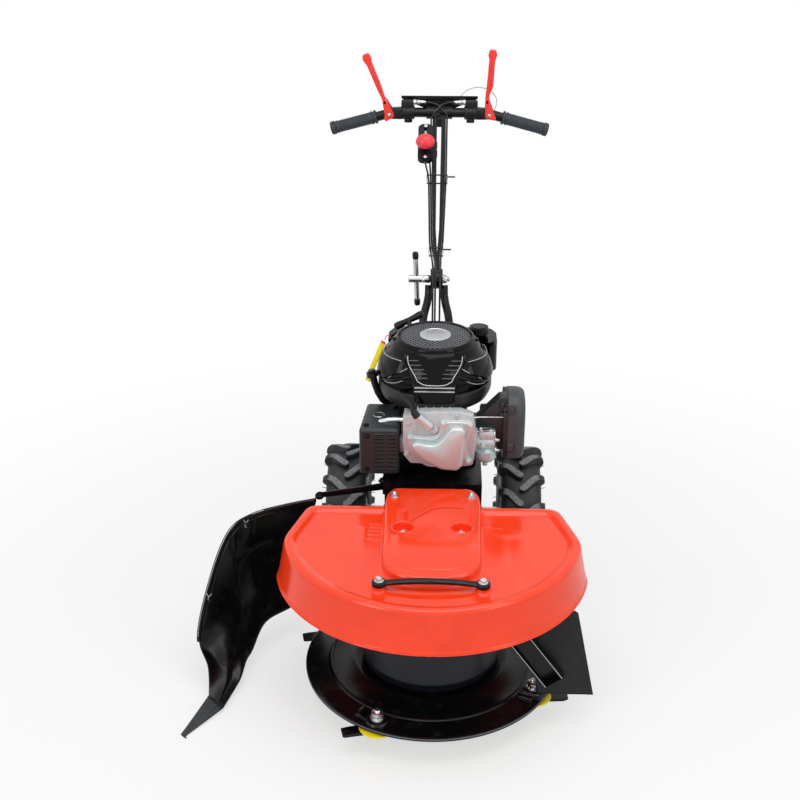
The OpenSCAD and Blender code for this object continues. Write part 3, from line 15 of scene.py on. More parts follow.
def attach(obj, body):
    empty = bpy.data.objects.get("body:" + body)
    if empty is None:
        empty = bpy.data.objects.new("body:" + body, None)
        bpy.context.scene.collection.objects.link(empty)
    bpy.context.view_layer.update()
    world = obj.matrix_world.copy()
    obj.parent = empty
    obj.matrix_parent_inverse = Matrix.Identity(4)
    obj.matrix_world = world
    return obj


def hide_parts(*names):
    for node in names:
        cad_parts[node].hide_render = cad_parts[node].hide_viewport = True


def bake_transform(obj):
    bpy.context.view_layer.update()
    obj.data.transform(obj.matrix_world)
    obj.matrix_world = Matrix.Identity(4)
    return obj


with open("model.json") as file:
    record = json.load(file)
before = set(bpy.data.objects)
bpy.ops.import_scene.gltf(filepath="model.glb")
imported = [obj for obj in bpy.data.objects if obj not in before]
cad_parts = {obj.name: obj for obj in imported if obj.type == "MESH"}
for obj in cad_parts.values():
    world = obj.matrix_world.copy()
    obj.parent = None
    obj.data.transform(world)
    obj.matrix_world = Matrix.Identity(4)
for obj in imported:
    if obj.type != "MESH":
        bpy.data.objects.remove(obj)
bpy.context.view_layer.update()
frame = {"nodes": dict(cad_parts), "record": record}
MM = 0.001
WHEEL_Y, WHEEL_Z = 456.0, 160.0               # axle

# ---- Camera --------------------------------------------------------------------------
CAMERA_AT = (0.011, -2.256, 1.73)
LOOKS_DOWN, TURNED_LEFT = 25.2, 1.923         # degrees
camera_data = bpy.data.cameras.new("camera")
camera_data.lens = 58.5
camera_data.sensor_width = 36.0
camera = bpy.data.objects.new("camera", camera_data)
camera.location = CAMERA_AT
camera.rotation_euler = (math.radians(90 - LOOKS_DOWN), 0, math.radians(TURNED_LEFT))
bpy.context.scene.collection.objects.link(camera)
bpy.context.scene.camera = camera
bpy.context.scene.view_settings.view_transform = "Standard"


# ---- Colours and nodes ---------------------------------------------------------------
def linear(hex_colour):
    """Linear RGBA of an sRGB hex value."""
    parts = [int(hex_colour[i : i + 2], 16) / 255 for i in (1, 3, 5)]
    return [c / 12.92 if c <= 0.04045 else ((c + 0.055) / 1.055) ** 2.4 for c in parts] + [1.0]


def node(tree, kind, inputs=None, **settings):
    """Adds a node with its settings; inputs are socket values, or the sockets to link from."""
    made = tree.nodes.new(kind)
    for key, value in settings.items():
        setattr(made, key, value)
    for key, value in (inputs or {}).items():
        if isinstance(value, bpy.types.NodeSocket):
            tree.links.new(value, made.inputs[key])
        else:
            made.inputs[key].default_value = value
    return made


FACTOR, FIRST, SECOND, MIXED = 0, 6, 7, 2     # sockets of a colour Mix node


def blank(name):
    """New material with only its output; returns (material, tree, output)."""
    material = bpy.data.materials.new(name)
    material.use_nodes = True
    tree = material.node_tree
    tree.nodes.clear()
    return material, tree, node(tree, "ShaderNodeOutputMaterial")


def grain(tree, size_mm, detail):
    """Noise over Object coordinates with spots of about size_mm."""
    place = node(tree, "ShaderNodeTexCoord").outputs["Object"]
    return node(tree, "ShaderNodeTexNoise", {"Vector": place, "Scale": 1 / (size_mm * MM),
                                             "Detail": detail, "Roughness": 0.55}).outputs["Fac"]


def ramp(tree, value, lo, hi, out_lo=0.0, out_hi=1.0):
    """Eases a value from out_lo to out_hi while it goes from lo to hi."""
    return node(tree, "ShaderNodeMapRange", {
        "Value": value, "From Min": lo, "From Max": hi, "To Min": out_lo, "To Max": out_hi},
        interpolation_type="SMOOTHSTEP").outputs["Result"]


def mixed(tree, factor, first, second):
    """Colour between first and second."""
    return node(tree, "ShaderNodeMix", {FACTOR: factor, FIRST: first, SECOND: second},
                data_type="RGBA").outputs[MIXED]


def bumped(tree, height, depth_mm):
    """Normal of a surface that height raises by up to depth_mm."""
    return node(tree, "ShaderNodeBump", {"Height": height, "Distance": depth_mm * MM,
                                         "Strength": 1.0}).outputs["Normal"]


def surface(tree, out, colour, rough, normal, **sockets):
    """Principled shader to the output; keyword names have _ for each space of the socket's name."""
    inputs = {"Base Color": colour, "Roughness": rough, "Normal": normal}
    inputs.update({key.replace("_", " "): value for key, value in sockets.items()})
    shader = node(tree, "ShaderNodeBsdfPrincipled", inputs)
    tree.links.new(shader.outputs["BSDF"], out.inputs["Surface"])


# ---- Finishes ------------------------------------------------------------------------
# Grain sizes and depths are in millimetres. Orange peel, mould erosion and casting skin are finer
# than this on the real surfaces, and are drawn as coarse as they need to be to show.
LUG_TOP_HIGHLIGHT = (156.2, 158.2)                 # radii between which a painted highlight pales a lug's top
COOL_TINT_FOOT, COOL_TINT_TOP = 400.0, 530.0      # heights over which the castings' painted cool tint fades out


def enamel(name, hex_colour, rough, peel_mm=0.035, gloss=0.4, dust=0.0, dust_hex="#8E8B84"):
    """Stoved powder coat on pressed steel: glossy, with the slow waves of orange peel and a
    faint unevenness of tone; dust lies on it in soft spots."""
    material, tree, out = blank(name)
    tone = mixed(tree, ramp(tree, grain(tree, 90, 3), 0.35, 0.7), linear(hex_colour),
                 [c * 0.9 for c in linear(hex_colour)[:3]] + [1])
    spots = ramp(tree, grain(tree, 26, 5), 0.5, 0.78, 0.0, dust)
    colour = mixed(tree, spots, tone, linear(dust_hex))
    dulled = ramp(tree, grain(tree, 26, 5), 0.45, 0.8, rough, rough + 0.1 + dust * 0.5)
    surface(tree, out, colour, dulled, bumped(tree, grain(tree, 3.2, 1), peel_mm),
            Specular_IOR_Level=gloss)
    return material


def moulded(name, hex_colour, rough, texture_mm=0.9, depth_mm=0.03, gloss=0.4, worn_hex=None):
    """Injection-moulded plastic: the mould's fine erosion texture gives a broken sheen."""
    material, tree, out = blank(name)
    wear_and_highlights = linear(worn_hex) if worn_hex else [min(1, c * 1.5 + 0.004) for c in linear(hex_colour)]
    colour = mixed(tree, ramp(tree, grain(tree, 35, 5), 0.48, 0.8, 0, 0.6), linear(hex_colour), wear_and_highlights)
    dulled = ramp(tree, grain(tree, 18, 4), 0.3, 0.75, rough - 0.05, rough + 0.07)
    surface(tree, out, colour, dulled, bumped(tree, grain(tree, texture_mm, 1), depth_mm),
            Specular_IOR_Level=gloss)
    return material


def bare_metal(name, hex_colour, rough, grain_mm, depth_mm, spread=0.12, stain_hex="#8B8D90",
               metallic=1.0, painted_cool_foot_hex=None):
    """Metal: its tone and its gloss change a little from spot to spot. Silver lacquer and rough
    casting skin scatter light, so they are less than fully metallic. The engine's castings are
    given a painted cooler tint towards their foot, against the red light the deck throws on them."""
    material, tree, out = blank(name)
    colour = mixed(tree, ramp(tree, grain(tree, 14, 5), 0.45, 0.85, 0, 0.7), linear(hex_colour),
                   linear(stain_hex))
    # painted light: a cooler colour towards the foot, against the red light bounced from the deck
    if painted_cool_foot_hex:
        place = node(tree, "ShaderNodeTexCoord").outputs["Object"]
        height = node(tree, "ShaderNodeSeparateXYZ", {0: place}).outputs["Z"]
        colour = mixed(tree, ramp(tree, height, COOL_TINT_FOOT * MM, COOL_TINT_TOP * MM),
                       linear(painted_cool_foot_hex), colour)
    dulled = ramp(tree, grain(tree, 9, 4), 0.3, 0.75, rough - spread / 2, rough + spread)
    surface(tree, out, colour, dulled, bumped(tree, grain(tree, grain_mm, 2), depth_mm),
            Metallic=metallic)
    return material


def rubber(name, hex_colour, rough, texture_mm=1.2, depth_mm=0.05, bloom_hex="#3A3A3A", bloom=0.5):
    """Vulcanised rubber: dull, greying where it has bloomed or been rubbed."""
    material, tree, out = blank(name)
    colour = mixed(tree, ramp(tree, grain(tree, 30, 6), 0.45, 0.8, 0, bloom), linear(hex_colour),
                   linear(bloom_hex))
    dulled = ramp(tree, grain(tree, 12, 4), 0.3, 0.75, rough - 0.06, rough + 0.08)
    surface(tree, out, colour, dulled, bumped(tree, grain(tree, texture_mm, 2), depth_mm),
            Specular_IOR_Level=0.3)
    return material


def tyre_rubber(name, hex_colour, lug_highlight_hex):
    """Tyre rubber, paled on the lugs' tops by a painted highlight."""
    material, tree, out = blank(name)
    place = node(tree, "ShaderNodeTexCoord").outputs["Object"]
    spot = node(tree, "ShaderNodeVectorMath", {0: place, 1: (0, WHEEL_Y * MM, WHEEL_Z * MM)},
                operation="SUBTRACT").outputs["Vector"]
    flat = node(tree, "ShaderNodeVectorMath", {0: spot, 1: (0, 1, 1)}, operation="MULTIPLY").outputs[0]
    radius = node(tree, "ShaderNodeVectorMath", {0: flat}, operation="LENGTH").outputs["Value"]
    # painted highlight: pale grey on the lugs' tops, broken up by noise
    top = ramp(tree, radius, LUG_TOP_HIGHLIGHT[0] * MM, LUG_TOP_HIGHLIGHT[1] * MM)
    patchy = ramp(tree, grain(tree, 5, 4), 0.3, 0.62, 0.45, 1)
    lug_top_highlight = node(tree, "ShaderNodeMath", {0: top, 1: patchy}, operation="MULTIPLY").outputs[0]
    base = mixed(tree, ramp(tree, grain(tree, 30, 6), 0.45, 0.8, 0, 0.6), linear(hex_colour),
                 linear("#34363A"))
    surface(tree, out, mixed(tree, lug_top_highlight, base, linear(lug_highlight_hex)), ramp(tree, top, 0, 1, 0.46, 0.62),
            bumped(tree, grain(tree, 1.6, 2), 0.08), Specular_IOR_Level=0.35)
    return material


# deep glossy red of the pressed deck
red_enamel = enamel("red_enamel", "#FF421C", 0.13, gloss=0.45)
# black of the frame and guards, slightly dusty
black_enamel = enamel("black_enamel", "#090A0D", 0.2, gloss=0.26, dust=0.03)
# grey line round the disc's edge, a painted highlight
rim_highlight_enamel = enamel("grey_enamel_painted_rim_highlight", "#5C6066", 0.25)
# satin drum, bluish with grass dust
drum_enamel = enamel("drum_satin_enamel", "#10141B", 0.34, peel_mm=0.05, gloss=0.35, dust=0.08,
                     dust_hex="#4A525E")
# warning yellow of the knife plate and the tag
yellow_enamel = enamel("yellow_enamel", "#FFE61E", 0.35)
# bright, faintly blue fasteners
zinc_plate = bare_metal("bright_zinc_plate", "#D2D4D6", 0.26, 0.8, 0.02)
# dull brown-black springs and screws
black_oxide = bare_metal("blackened_spring_steel", "#2E2F32", 0.42, 0.7, 0.03, stain_hex="#15161A")
# pale grey gearbox with the sand's grain
cast_alloy = bare_metal("sand_cast_aluminium", "#BDC1C3", 0.45, 0.9, 0.12, stain_hex="#989C9E",
                        metallic=0.5)
# finned barrel and head, a little paler and rougher than the cover, with a painted cool tint at the foot
# against the deck's red light
finned_alloy = bare_metal("fettled_aluminium_casting", "#C3C8CA", 0.45, 0.9, 0.12, stain_hex="#9EA3A5",
                          metallic=0.35, painted_cool_foot_hex="#A9BFC2")
# smooth silver of the valve cover and carburettor, with a painted cool tint at the foot against the
# deck's red light
bright_alloy = bare_metal("silver_lacquered_die_casting", "#D4D7D8", 0.34, 0.5, 0.05,
                          stain_hex="#BBBEC0", metallic=0.4, painted_cool_foot_hex="#B6CFD2")
# mirror-like black of the engine's housing, with sharp reflections
gloss_abs = moulded("glossy_black_abs", "#030304", 0.08, 1.4, 0.006, gloss=0.17, worn_hex="#050506")
# duller black of grips, straps and brackets
satin_abs = moulded("satin_black_abs", "#0E0F12", 0.36, 0.9, 0.03, gloss=0.3)
# grey, finely eroded air cleaner cover
grey_pp = moulded("eroded_grey_polypropylene", "#3B3E41", 0.45, 0.8, 0.07, worn_hex="#494C4F")
# charcoal of the muffler's guard, rough as sprayed; the swath board's toe takes it as a painted sheen,
# paler than the board's black where the toe faces up
charcoal_paint_and_painted_sheen = moulded("heat_resistant_charcoal_paint_and_painted_sheen", "#24292C", 0.4, 0.7, 0.06, worn_hex="#343A3D")
# orange-red levers with a soft shine
red_nylon = moulded("red_glass_filled_nylon", "#F03A32", 0.28, 1.1, 0.02, worn_hex="#DC3229")
# pinkish red, waxy throttle knob
knob_pvc = moulded("dipped_red_pvc", "#F2404A", 0.2, 2.5, 0.01, worn_hex="#E83842")
# grey mesh of the starter's screen over its dark inside; on the housing's slats the same grey is a
# painted highlight
grey_mesh_and_painted_highlight = moulded("silver_grey_abs_mesh_and_painted_highlight", "#54575C", 0.35, 0.8, 0.02, worn_hex="#6A6D72")
# matt charcoal of the mouldings round the engine
charcoal_abs = moulded("eroded_charcoal_abs", "#232427", 0.42, 0.8, 0.05, worn_hex="#2B2C30")
# pale grey: painted highlights drawn as bright lines on edges and curves, and the pale wire's own colour
pale_grey_painted_highlight = moulded("painted_highlight_pale_grey_plastic", "#B9BDC2", 0.18, 1.5, 0.004, worn_hex="#D5D8DB")
# brown-black, dry silencer
soot_steel = bare_metal("sooted_steel_sheet", "#2A2826", 0.55, 0.8, 0.05, stain_hex="#3B2E26")
# plain satin plate on the starter
brushed_plate = bare_metal("satin_anodised_aluminium", "#C3C6C9", 0.34, 0.3, 0.015)
# blue-grey, slightly tacky grips
grip_rubber = rubber("grip_thermoplastic_rubber", "#33393F", 0.5, 0.9, 0.04, "#454C54", 0.6)
# soft black tyres with a fine grain, greyed on the lugs' tops by a painted highlight
tread_rubber = tyre_rubber("tyre_tread_rubber", "#232527", "#86888B")
# matt flap that shows the cloth in it
flap_rubber = rubber("cloth_reinforced_sheet_rubber", "#191B1C", 0.55, 1.6, 0.12, "#2C3031", 0.7)
# dull black of belts and of rubber that has no finish of its own
belt_rubber = rubber("belt_rubber", "#1C1C1D", 0.6)
# shining cable sheath
sheath_pvc = moulded("black_pvc_sheath", "#111214", 0.32, 1.2, 0.01)

SLOT_FINISH = {
    "black_paint": black_enamel, "red_paint": red_enamel, "yellow_paint": yellow_enamel,
    "zinc_steel": zinc_plate, "dark_steel": black_oxide, "cast_aluminium": cast_alloy,
    "bright_aluminium": bright_alloy, "black_plastic": satin_abs, "grey_plastic": grey_pp,
    "red_plastic": red_nylon, "grip_rubber": grip_rubber, "black_rubber": belt_rubber,
    "tyre_rubber": belt_rubber,
}
OWN_FINISH = {"drum": drum_enamel, "rubber_flap": flap_rubber, "blower_housing": gloss_abs,
              "starter_cover": gloss_abs, "muffler_guard": charcoal_paint_and_painted_sheen, "throttle_lever": knob_pvc,
              "upper_cables": sheath_pvc, "lower_cables": sheath_pvc, "fuel_tank": gloss_abs,
              "engine_block": black_enamel}
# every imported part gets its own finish, or that of its slot
for row in frame["record"]["subparts"]:
    shown = frame["nodes"][row["node"]]
    finish = OWN_FINISH.get(row["node"], SLOT_FINISH[row["material_slot"]])
    shown.data.materials.clear()
    shown.data.materials.append(finish)


# ---- Modelling helpers, all in millimetres -------------------------------------------
def shift(x, y, z):
    """Matrix of a move."""
    return Matrix.Translation((x, y, z))


def spun(degrees, axis):
    """Matrix of a turn about an axis through the origin."""
    return Matrix.Rotation(math.radians(degrees), 4, axis)


UPRIGHT = spun(90, "X")                       # stands a flat plate up, facing the front
MIRROR_X = Matrix.Scale(-1, 4, (1, 0, 0))


def soft(lo, hi, value):
    """0 below lo, 1 above hi, eased between them."""
    t = min(1.0, max(0.0, (value - lo) / (hi - lo)))
    return t * t * (3 - 2 * t)


def aim(at, axis=(0, 0, 1), side=None):
    """Matrix that puts a part's origin at `at`, its Z along axis and its X towards side."""
    z = Vector(axis).normalized()
    x = Vector(side) if side else z.orthogonal()
    x = (x - x.dot(z) * z).normalized()
    return Matrix.Translation(at) @ Matrix((x, z.cross(x), z)).transposed().to_4x4()


def join(bm, part, *matrices):
    """Adds part to bm, once for each matrix, and frees it."""
    scratch = bpy.data.meshes.new("scratch")
    part.to_mesh(scratch)
    part.free()
    for matrix in matrices or (Matrix(),):
        copy = scratch.copy()
        copy.transform(matrix)
        if matrix.determinant() < 0:
            copy.flip_normals()
        bm.from_mesh(copy)
        bpy.data.meshes.remove(copy)
    bpy.data.meshes.remove(scratch)


def eased(part, width, segments=2, angle=30):
    """Rounds the part's edges that are sharper than angle."""
    edges = [e for e in part.edges
             if len(e.link_faces) == 2 and e.calc_face_angle(0) > math.radians(angle)]
    bmesh.ops.bevel(part, geom=edges, offset=width, segments=segments, profile=0.5,
                    affect="EDGES", material=-1, clamp_overlap=True)
    return part


def block(lo, hi, edge=0.0, segments=2):
    """Box between two corners, its edges rounded by edge."""
    part = bmesh.new()
    bmesh.ops.create_cube(part, size=1)
    size = [b - a for a, b in zip(lo, hi)]
    part.transform(Matrix.Translation([(a + b) / 2 for a, b in zip(lo, hi)])
                   @ Matrix.Diagonal(size).to_4x4())
    return eased(part, edge, segments) if edge else part


def disc(radius, height, edge=0.0, sides=40, top=None):
    """Cylinder or cone standing on the origin."""
    part = bmesh.new()
    bmesh.ops.create_cone(part, cap_ends=True, segments=sides, radius1=radius,
                          radius2=radius if top is None else top, depth=height)
    part.transform(shift(0, 0, height / 2))
    return eased(part, edge, 2, 50) if edge else part


def turned(profile, sides=64):
    """Shape turned about Z from a profile of (radius, height)."""
    part = bmesh.new()
    chain = [part.verts.new((r, 0, z)) for r, z in profile]
    edges = [part.edges.new(pair) for pair in zip(chain, chain[1:])]
    bmesh.ops.spin(part, geom=chain + edges, cent=(0, 0, 0), axis=(0, 0, 1),
                   angle=math.tau, steps=sides, use_merge=True)
    bmesh.ops.remove_doubles(part, verts=part.verts, dist=0.001)
    bmesh.ops.recalc_face_normals(part, faces=part.faces)
    return part


def plate(outline, thick, edge=0.0, segments=2, angle=30):
    """Flat plate over a closed outline, from Z 0 up to thick."""
    part = bmesh.new()
    face = part.faces.new([part.verts.new((p[0], p[1], 0)) for p in outline])
    grown = bmesh.ops.extrude_face_region(part, geom=[face])["geom"]
    bmesh.ops.translate(part, vec=(0, 0, thick),
                        verts=[v for v in grown if isinstance(v, bmesh.types.BMVert)])
    bmesh.ops.recalc_face_normals(part, faces=part.faces)
    return eased(part, edge, segments, angle) if edge else part


def skin(rings, caps=True, loop=False):
    """Surface through rings of equal point count; loop joins the last ring to the first."""
    part = bmesh.new()
    loops = []
    for ring in rings:
        around = [part.verts.new(p) for p in ring]
        loops.append([part.edges.new((a, b)) for a, b in zip(around, around[1:] + around[:1])])
        if caps and not loop and ring in (rings[0], rings[-1]):
            part.faces.new(around)
    for first, second in zip(loops, loops[1:] + loops[:1] if loop else loops[1:]):
        bmesh.ops.bridge_loops(part, edges=first + second)
    bmesh.ops.recalc_face_normals(part, faces=part.faces)
    return part


def curved(points, per=6, closed=False):
    """Smooth path through points, `per` steps between two of them."""
    pts = [Vector(p).to_3d() for p in points]
    n = len(pts)
    path = []
    for i in range(n if closed else n - 1):
        if closed:
            a, b, c, d = (pts[(i + k) % n] for k in (-1, 0, 1, 2))
        else:
            a, b, c, d = (pts[min(max(i + k, 0), n - 1)] for k in (-1, 0, 1, 2))
        for k in range(per):
            t = k / per
            path.append(0.5 * (2 * b + (c - a) * t + (2 * a - 5 * b + 4 * c - d) * t * t
                               + (3 * b - a - 3 * c + d) * t ** 3))
    return path if closed else path + [pts[-1]]


def grown(outline, by):
    """Flat closed outline, anticlockwise, moved outwards by a distance."""
    moved = []
    for i, p in enumerate(outline):
        along = Vector(outline[(i + 1) % len(outline)]) - Vector(outline[i - 1])
        out = Vector((along.y, -along.x, 0)).normalized()
        moved.append(Vector(p) + out * by)
    return moved


def filleted(corners, per=5):
    """Closed flat outline with its corners rounded; corners are (x, y, radius)."""
    path = []
    for i, (x, y, radius) in enumerate(corners):
        here = Vector((x, y, 0))
        before = (Vector(corners[i - 1][:2]).to_3d() - here).normalized()
        after = (Vector(corners[(i + 1) % len(corners)][:2]).to_3d() - here).normalized()
        half = before.angle(after) / 2
        if radius <= 0 or half > math.radians(88):
            path.append(here)
            continue
        reach = radius / math.tan(half)
        for k in range(per + 1):
            t = k / per
            path.append(here + before * reach * (1 - t) ** 2 + after * reach * t ** 2)
    return path


def round_bar(points, radius, sides=12, smooth=True, per=6):
    """Round bar, tube or cable along a path."""
    path = curved(points, per) if smooth else [Vector(p) for p in points]
    shape = bpy.data.curves.new("scratch", "CURVE")
    shape.dimensions = "3D"
    shape.bevel_depth = radius
    shape.bevel_resolution = max(0, sides // 2 - 2)
    shape.use_fill_caps = True
    line = shape.splines.new("POLY")
    line.points.add(len(path) - 1)
    for spot, p in zip(line.points, path):
        spot.co = (*p, 1)
    made = bpy.data.objects.new("scratch", shape)
    part = bmesh.new()
    part.from_mesh(made.to_mesh())
    made.to_mesh_clear()
    bpy.data.objects.remove(made)
    bpy.data.curves.remove(shape)
    bmesh.ops.remove_doubles(part, verts=part.verts, dist=0.001)
    bmesh.ops.recalc_face_normals(part, faces=part.faces)
    return part


def hex_head(radius, height, washer=0.0, stud=0.0, stud_r=3.4):
    """Hexagon head or nut on its washer, with the end of the thread standing out of it."""
    part = bmesh.new()
    lift = 0.0
    if washer:
        join(part, disc(washer, 1.5, 0.4, 28))
        lift = 1.5
    join(part, eased(disc(radius, height, sides=6), 0.7, 2, 40), shift(0, 0, lift))
    if stud:
        thread = []
        z = lift + height - 1
        while z < lift + height + stud:
            thread += [(stud_r, z), (stud_r - 0.45, z + 0.5)]
            z += 1.0
        join(part, turned([(0, lift + height - 1.5), *thread, (stud_r - 0.8, z + 0.3), (0, z + 0.3)], 20))
    return part


def piece(name, bm, body, slot, finish, *stands_for, sharp=38, sheet=0.0, keep_normals=False):
    """Makes the finished piece from a bmesh in millimetres and hangs it on its body."""
    if not keep_normals:
        bmesh.ops.recalc_face_normals(bm, faces=bm.faces)
    bm.transform(Matrix.Scale(MM, 4))
    mesh = bpy.data.meshes.new(name)
    bm.to_mesh(mesh)
    bm.free()
    mesh.shade_smooth()
    mesh.set_sharp_from_angle(angle=math.radians(sharp))
    mesh.materials.append(finish)
    made = bpy.data.objects.new(name, mesh)
    bpy.context.scene.collection.objects.link(made)
    if sheet:
        wall = made.modifiers.new("wall", "SOLIDIFY")
        wall.thickness = sheet * MM
        wall.offset = -1.0
    if body:
        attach(made, body)
    if stands_for:
        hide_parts(*stands_for)
    return made


# ---- Deck ----------------------------------------------------------------------------
FLOOR_Z = 348.4                               # recessed floor
POCKET_X, POCKET_Y = 59, 14                   # round pockets in the raised centre
EYE_X, EYE_Y, EYE_Z = 99, -172, 359.4         # ends of the lift strap


def deck_line(out):
    """Outline of the pressed deck, `out` outside its rim line, anticlockwise from above."""
    points = []
    corner = (262 + 0.84 * out, 135 + 0.95 * out)
    side = (299 + out, 6.0)
    for k in range(9):
        t = k / 9
        points.append((side[0] + (corner[0] - side[0]) * t, side[1] + (corner[1] - side[1]) * t))
    for k in range(41):
        points.append((corner[0] * (1 - k / 20), corner[1]))
    points += [(-x, y) for x, y in reversed(points[:9])]
    for k in range(1, 140):
        a = math.radians(-172.5 + 165 * k / 140)
        points.append(((301.5 + out) * math.cos(a), 40 + (293 + out) * math.sin(a)))
    line = [Vector((x, y, 0)) for x, y in points]
    for _ in range(2):
        line = [(line[i - 1] + 2 * p + line[(i + 1) % len(line)]) / 4 for i, p in enumerate(line)]
    return line


def centre_line(out):
    """Outline of the raised centre's shoulder, grown by out."""
    half = [(54, 179), (76, 178), (87, 169), (95, 152), (98, 126), (97.5, 90), (96, 30),
            (95, -30), (94, -80), (91, -108), (83, -129), (66, -144), (40, -154)]
    ring = [(-x, y) for x, y in half] + [(0, -159.5)] + [(x, y) for x, y in reversed(half)]
    return grown(curved(ring, 5, closed=True), out)


def side_of(x, y, polygon):
    """Distance of a point from a closed polygon, positive inside it."""
    inside, nearest = False, 1e9
    for (ax, ay), (bx, by) in zip(polygon, polygon[1:] + polygon[:1]):
        if (ay > y) != (by > y) and x < ax + (y - ay) * (bx - ax) / (by - ay):
            inside = not inside
        t = ((x - ax) * (bx - ax) + (y - ay) * (by - ay)) / ((bx - ax) ** 2 + (by - ay) ** 2)
        t = min(1, max(0, t))
        nearest = min(nearest, math.hypot(x - ax - t * (bx - ax), y - ay - t * (by - ay)))
    return nearest if inside else -nearest


APRON = [(-150, -60), (-142, -120), (-117, -178), (-60, -206), (0, -216), (60, -206), (108, -176),
         (142, -120), (150, -60), (150, 60), (-150, 60)]
ISLAND = [(-44, 38), (-24, 60), (-3, 84), (10, 91), (30, 95), (66, 91), (78, 82), (80, 66), (76, 40),
          (84, 14), (84, -60), (81, -98), (62, -124), (30, -134), (-30, -134), (-58, -124),
          (-75, -98), (-76, -50), (-74, -14), (-40, 12)]


def floor_height(x, y):
    """Recessed floor of the deck: apron before the raised centre, ribs and soft bumps."""
    z = FLOOR_Z + 1.9 * soft(-3, 4, side_of(x, y, APRON))
    z += 0.9 * noise.noise((x / 130, y / 130, 3.0)) + 2.4 * (math.hypot(x / 300, (y + 40) / 260)) ** 3
    z += 2.2 * math.exp(-((x - 114) ** 2 + (y - 60) ** 2) / 300)
    z += 1.8 * math.exp(-((x - 153) ** 2 / 500 + (y - 36) ** 2 / 160))
    for k in range(5):
        mid = 73 - 15.5 * k
        z += 2.0 * math.exp(-((y - mid) / 3.0) ** 2) * soft(-131, -125, x) * soft(-101, -106, x)
    return z


def centre_height(x, y):
    """Top of the raised centre: it falls to the front and carries a pressed island."""
    z = 376.5 - 8.0 * soft(-40, -190, y) + 0.5 * noise.noise((x / 60, y / 60, 9.0))
    z += 2.0 * soft(-3.2, 3.2, side_of(x, y, ISLAND))
    z -= 2.2 * soft(8.5, 5, abs(x + 62)) * soft(30, 38, y) * soft(90, 80, y)
    return z


def pressed(outline, step, height, fine=()):
    """Sheet over a convex outline, cut into cells of about step and raised to height(x, y)."""
    part = bmesh.new()
    part.faces.new([part.verts.new((p.x, p.y, 0)) for p in outline])
    for axis in (0, 1):
        lo, hi = min(p[axis] for p in outline), max(p[axis] for p in outline)
        cuts = {round(lo + step * k, 3) for k in range(1, int((hi - lo) / step) + 1)}
        for a, b, inner, along in fine:
            if along == axis:
                cuts |= {round(a + inner * k, 3) for k in range(int((b - a) / inner) + 1)}
        for cut in sorted(cuts):
            at = (cut, 0, 0) if axis == 0 else (0, cut, 0)
            bmesh.ops.bisect_plane(part, geom=part.verts[:] + part.edges[:] + part.faces[:],
                                   dist=0.01, plane_co=at, plane_no=(1 - axis, axis, 0))
    for v in part.verts:
        v.co.z = height(v.co.x, v.co.y)
    return part


def sew(part, line, reach):
    """Bridges the open edges that lie within reach of a closed line, one loop on each side."""
    near = [tuple(p[:2]) for p in line]
    edges = [e for e in part.edges if e.is_boundary and all(
        abs(side_of(v.co.x, v.co.y, near)) < reach for v in e.verts)]
    bmesh.ops.bridge_loops(part, edges=edges)


def skirt_creases(p):
    """Pressed vertical creases in the middle of the front skirt, drawn in by up to 1.3 mm."""
    if p.y > 0:
        return 0.0
    return -1.3 * (math.exp(-((p.x + 12) / 3.2) ** 2) + math.exp(-((p.x - 6) / 3.2) ** 2))


# section from the floor over the rolled rim and down the skirt to its hem: (outwards, upwards)
RIM = [(-46, 0), (-38, 0), (-32, 0), (-28.5, 0.1), (-26, 0.3), (-23.5, 1.2), (-21, 3.2), (-18.2, 6.0),
       (-15, 7.8), (-11, 8.6), (-6, 8.7), (-2.4, 8.0), (0.6, 5.8), (2.2, 2.4), (3.6, -2.5), (4.9, -10),
       (6.6, -20), (8.6, -31), (10.6, -41), (12.6, -51), (14.6, -60), (16.6, -69), (17.4, -72),
       (18.6, -73.6), (19.2, -75.4), (18.6, -77), (17.2, -77.4)]
rings = []
for out, lift in RIM:
    ring = []
    for p in deck_line(out):
        q = p.copy()
        fall = soft(3, -12, lift)
        q -= Vector((q.x, q.y - 40, 0)).normalized() * -skirt_creases(p) * fall
        q.z = FLOOR_Z + lift + (floor_height(p.x, p.y) - FLOOR_Z) * soft(-18, -30, out)
        ring.append(q)
    rings.append(ring)
deck = skin(rings, caps=False)
tray = pressed(deck_line(-49), 10, floor_height, [(-136, -98, 4.0, 0), (4, 82, 2.6, 1)])
join(deck, tray)
sew(deck, deck_line(-47.5), 4)
buried = [tuple(p[:2]) for p in centre_line(-6)]
bmesh.ops.delete(deck, context="FACES", geom=[
    f for f in deck.faces if side_of(*f.calc_center_median()[:2], buried) > 0])

# raised centre: walls as (outwards, share of the height), then its top
WALL = [(9, 0.0), (7, 0.02), (5.2, 0.1), (3.9, 0.3), (2.7, 0.62), (1.2, 0.86), (-1.2, 0.97), (-4, 1.0)]
rings = []
for out, share in WALL:
    rings.append([Vector((p.x, p.y, floor_height(p.x, p.y) * (1 - share)
                          + share * centre_height(p.x, p.y) - (0.4 if share == 0 else 0)))
                  for p in centre_line(out)])
centre = skin(rings, caps=False)
top = pressed(centre_line(-7), 7, centre_height, [(-50, 96, 3.4, 0), (-140, 100, 3.4, 1)])
bmesh.ops.delete(top, context="FACES", geom=[
    f for f in top.faces
    if min(math.hypot(abs(v.co.x) - POCKET_X, v.co.y - POCKET_Y) for v in f.verts) < 20])
join(centre, top)
sew(centre, centre_line(-5.5), 3)
join(deck, centre)
cup = turned([(26.5, 377.2), (24.5, 378.6), (22.6, 379), (21, 378.2), (20, 376), (19.4, 371),
              (18.8, 363.5), (17.5, 361), (0, 360.6)], 48)
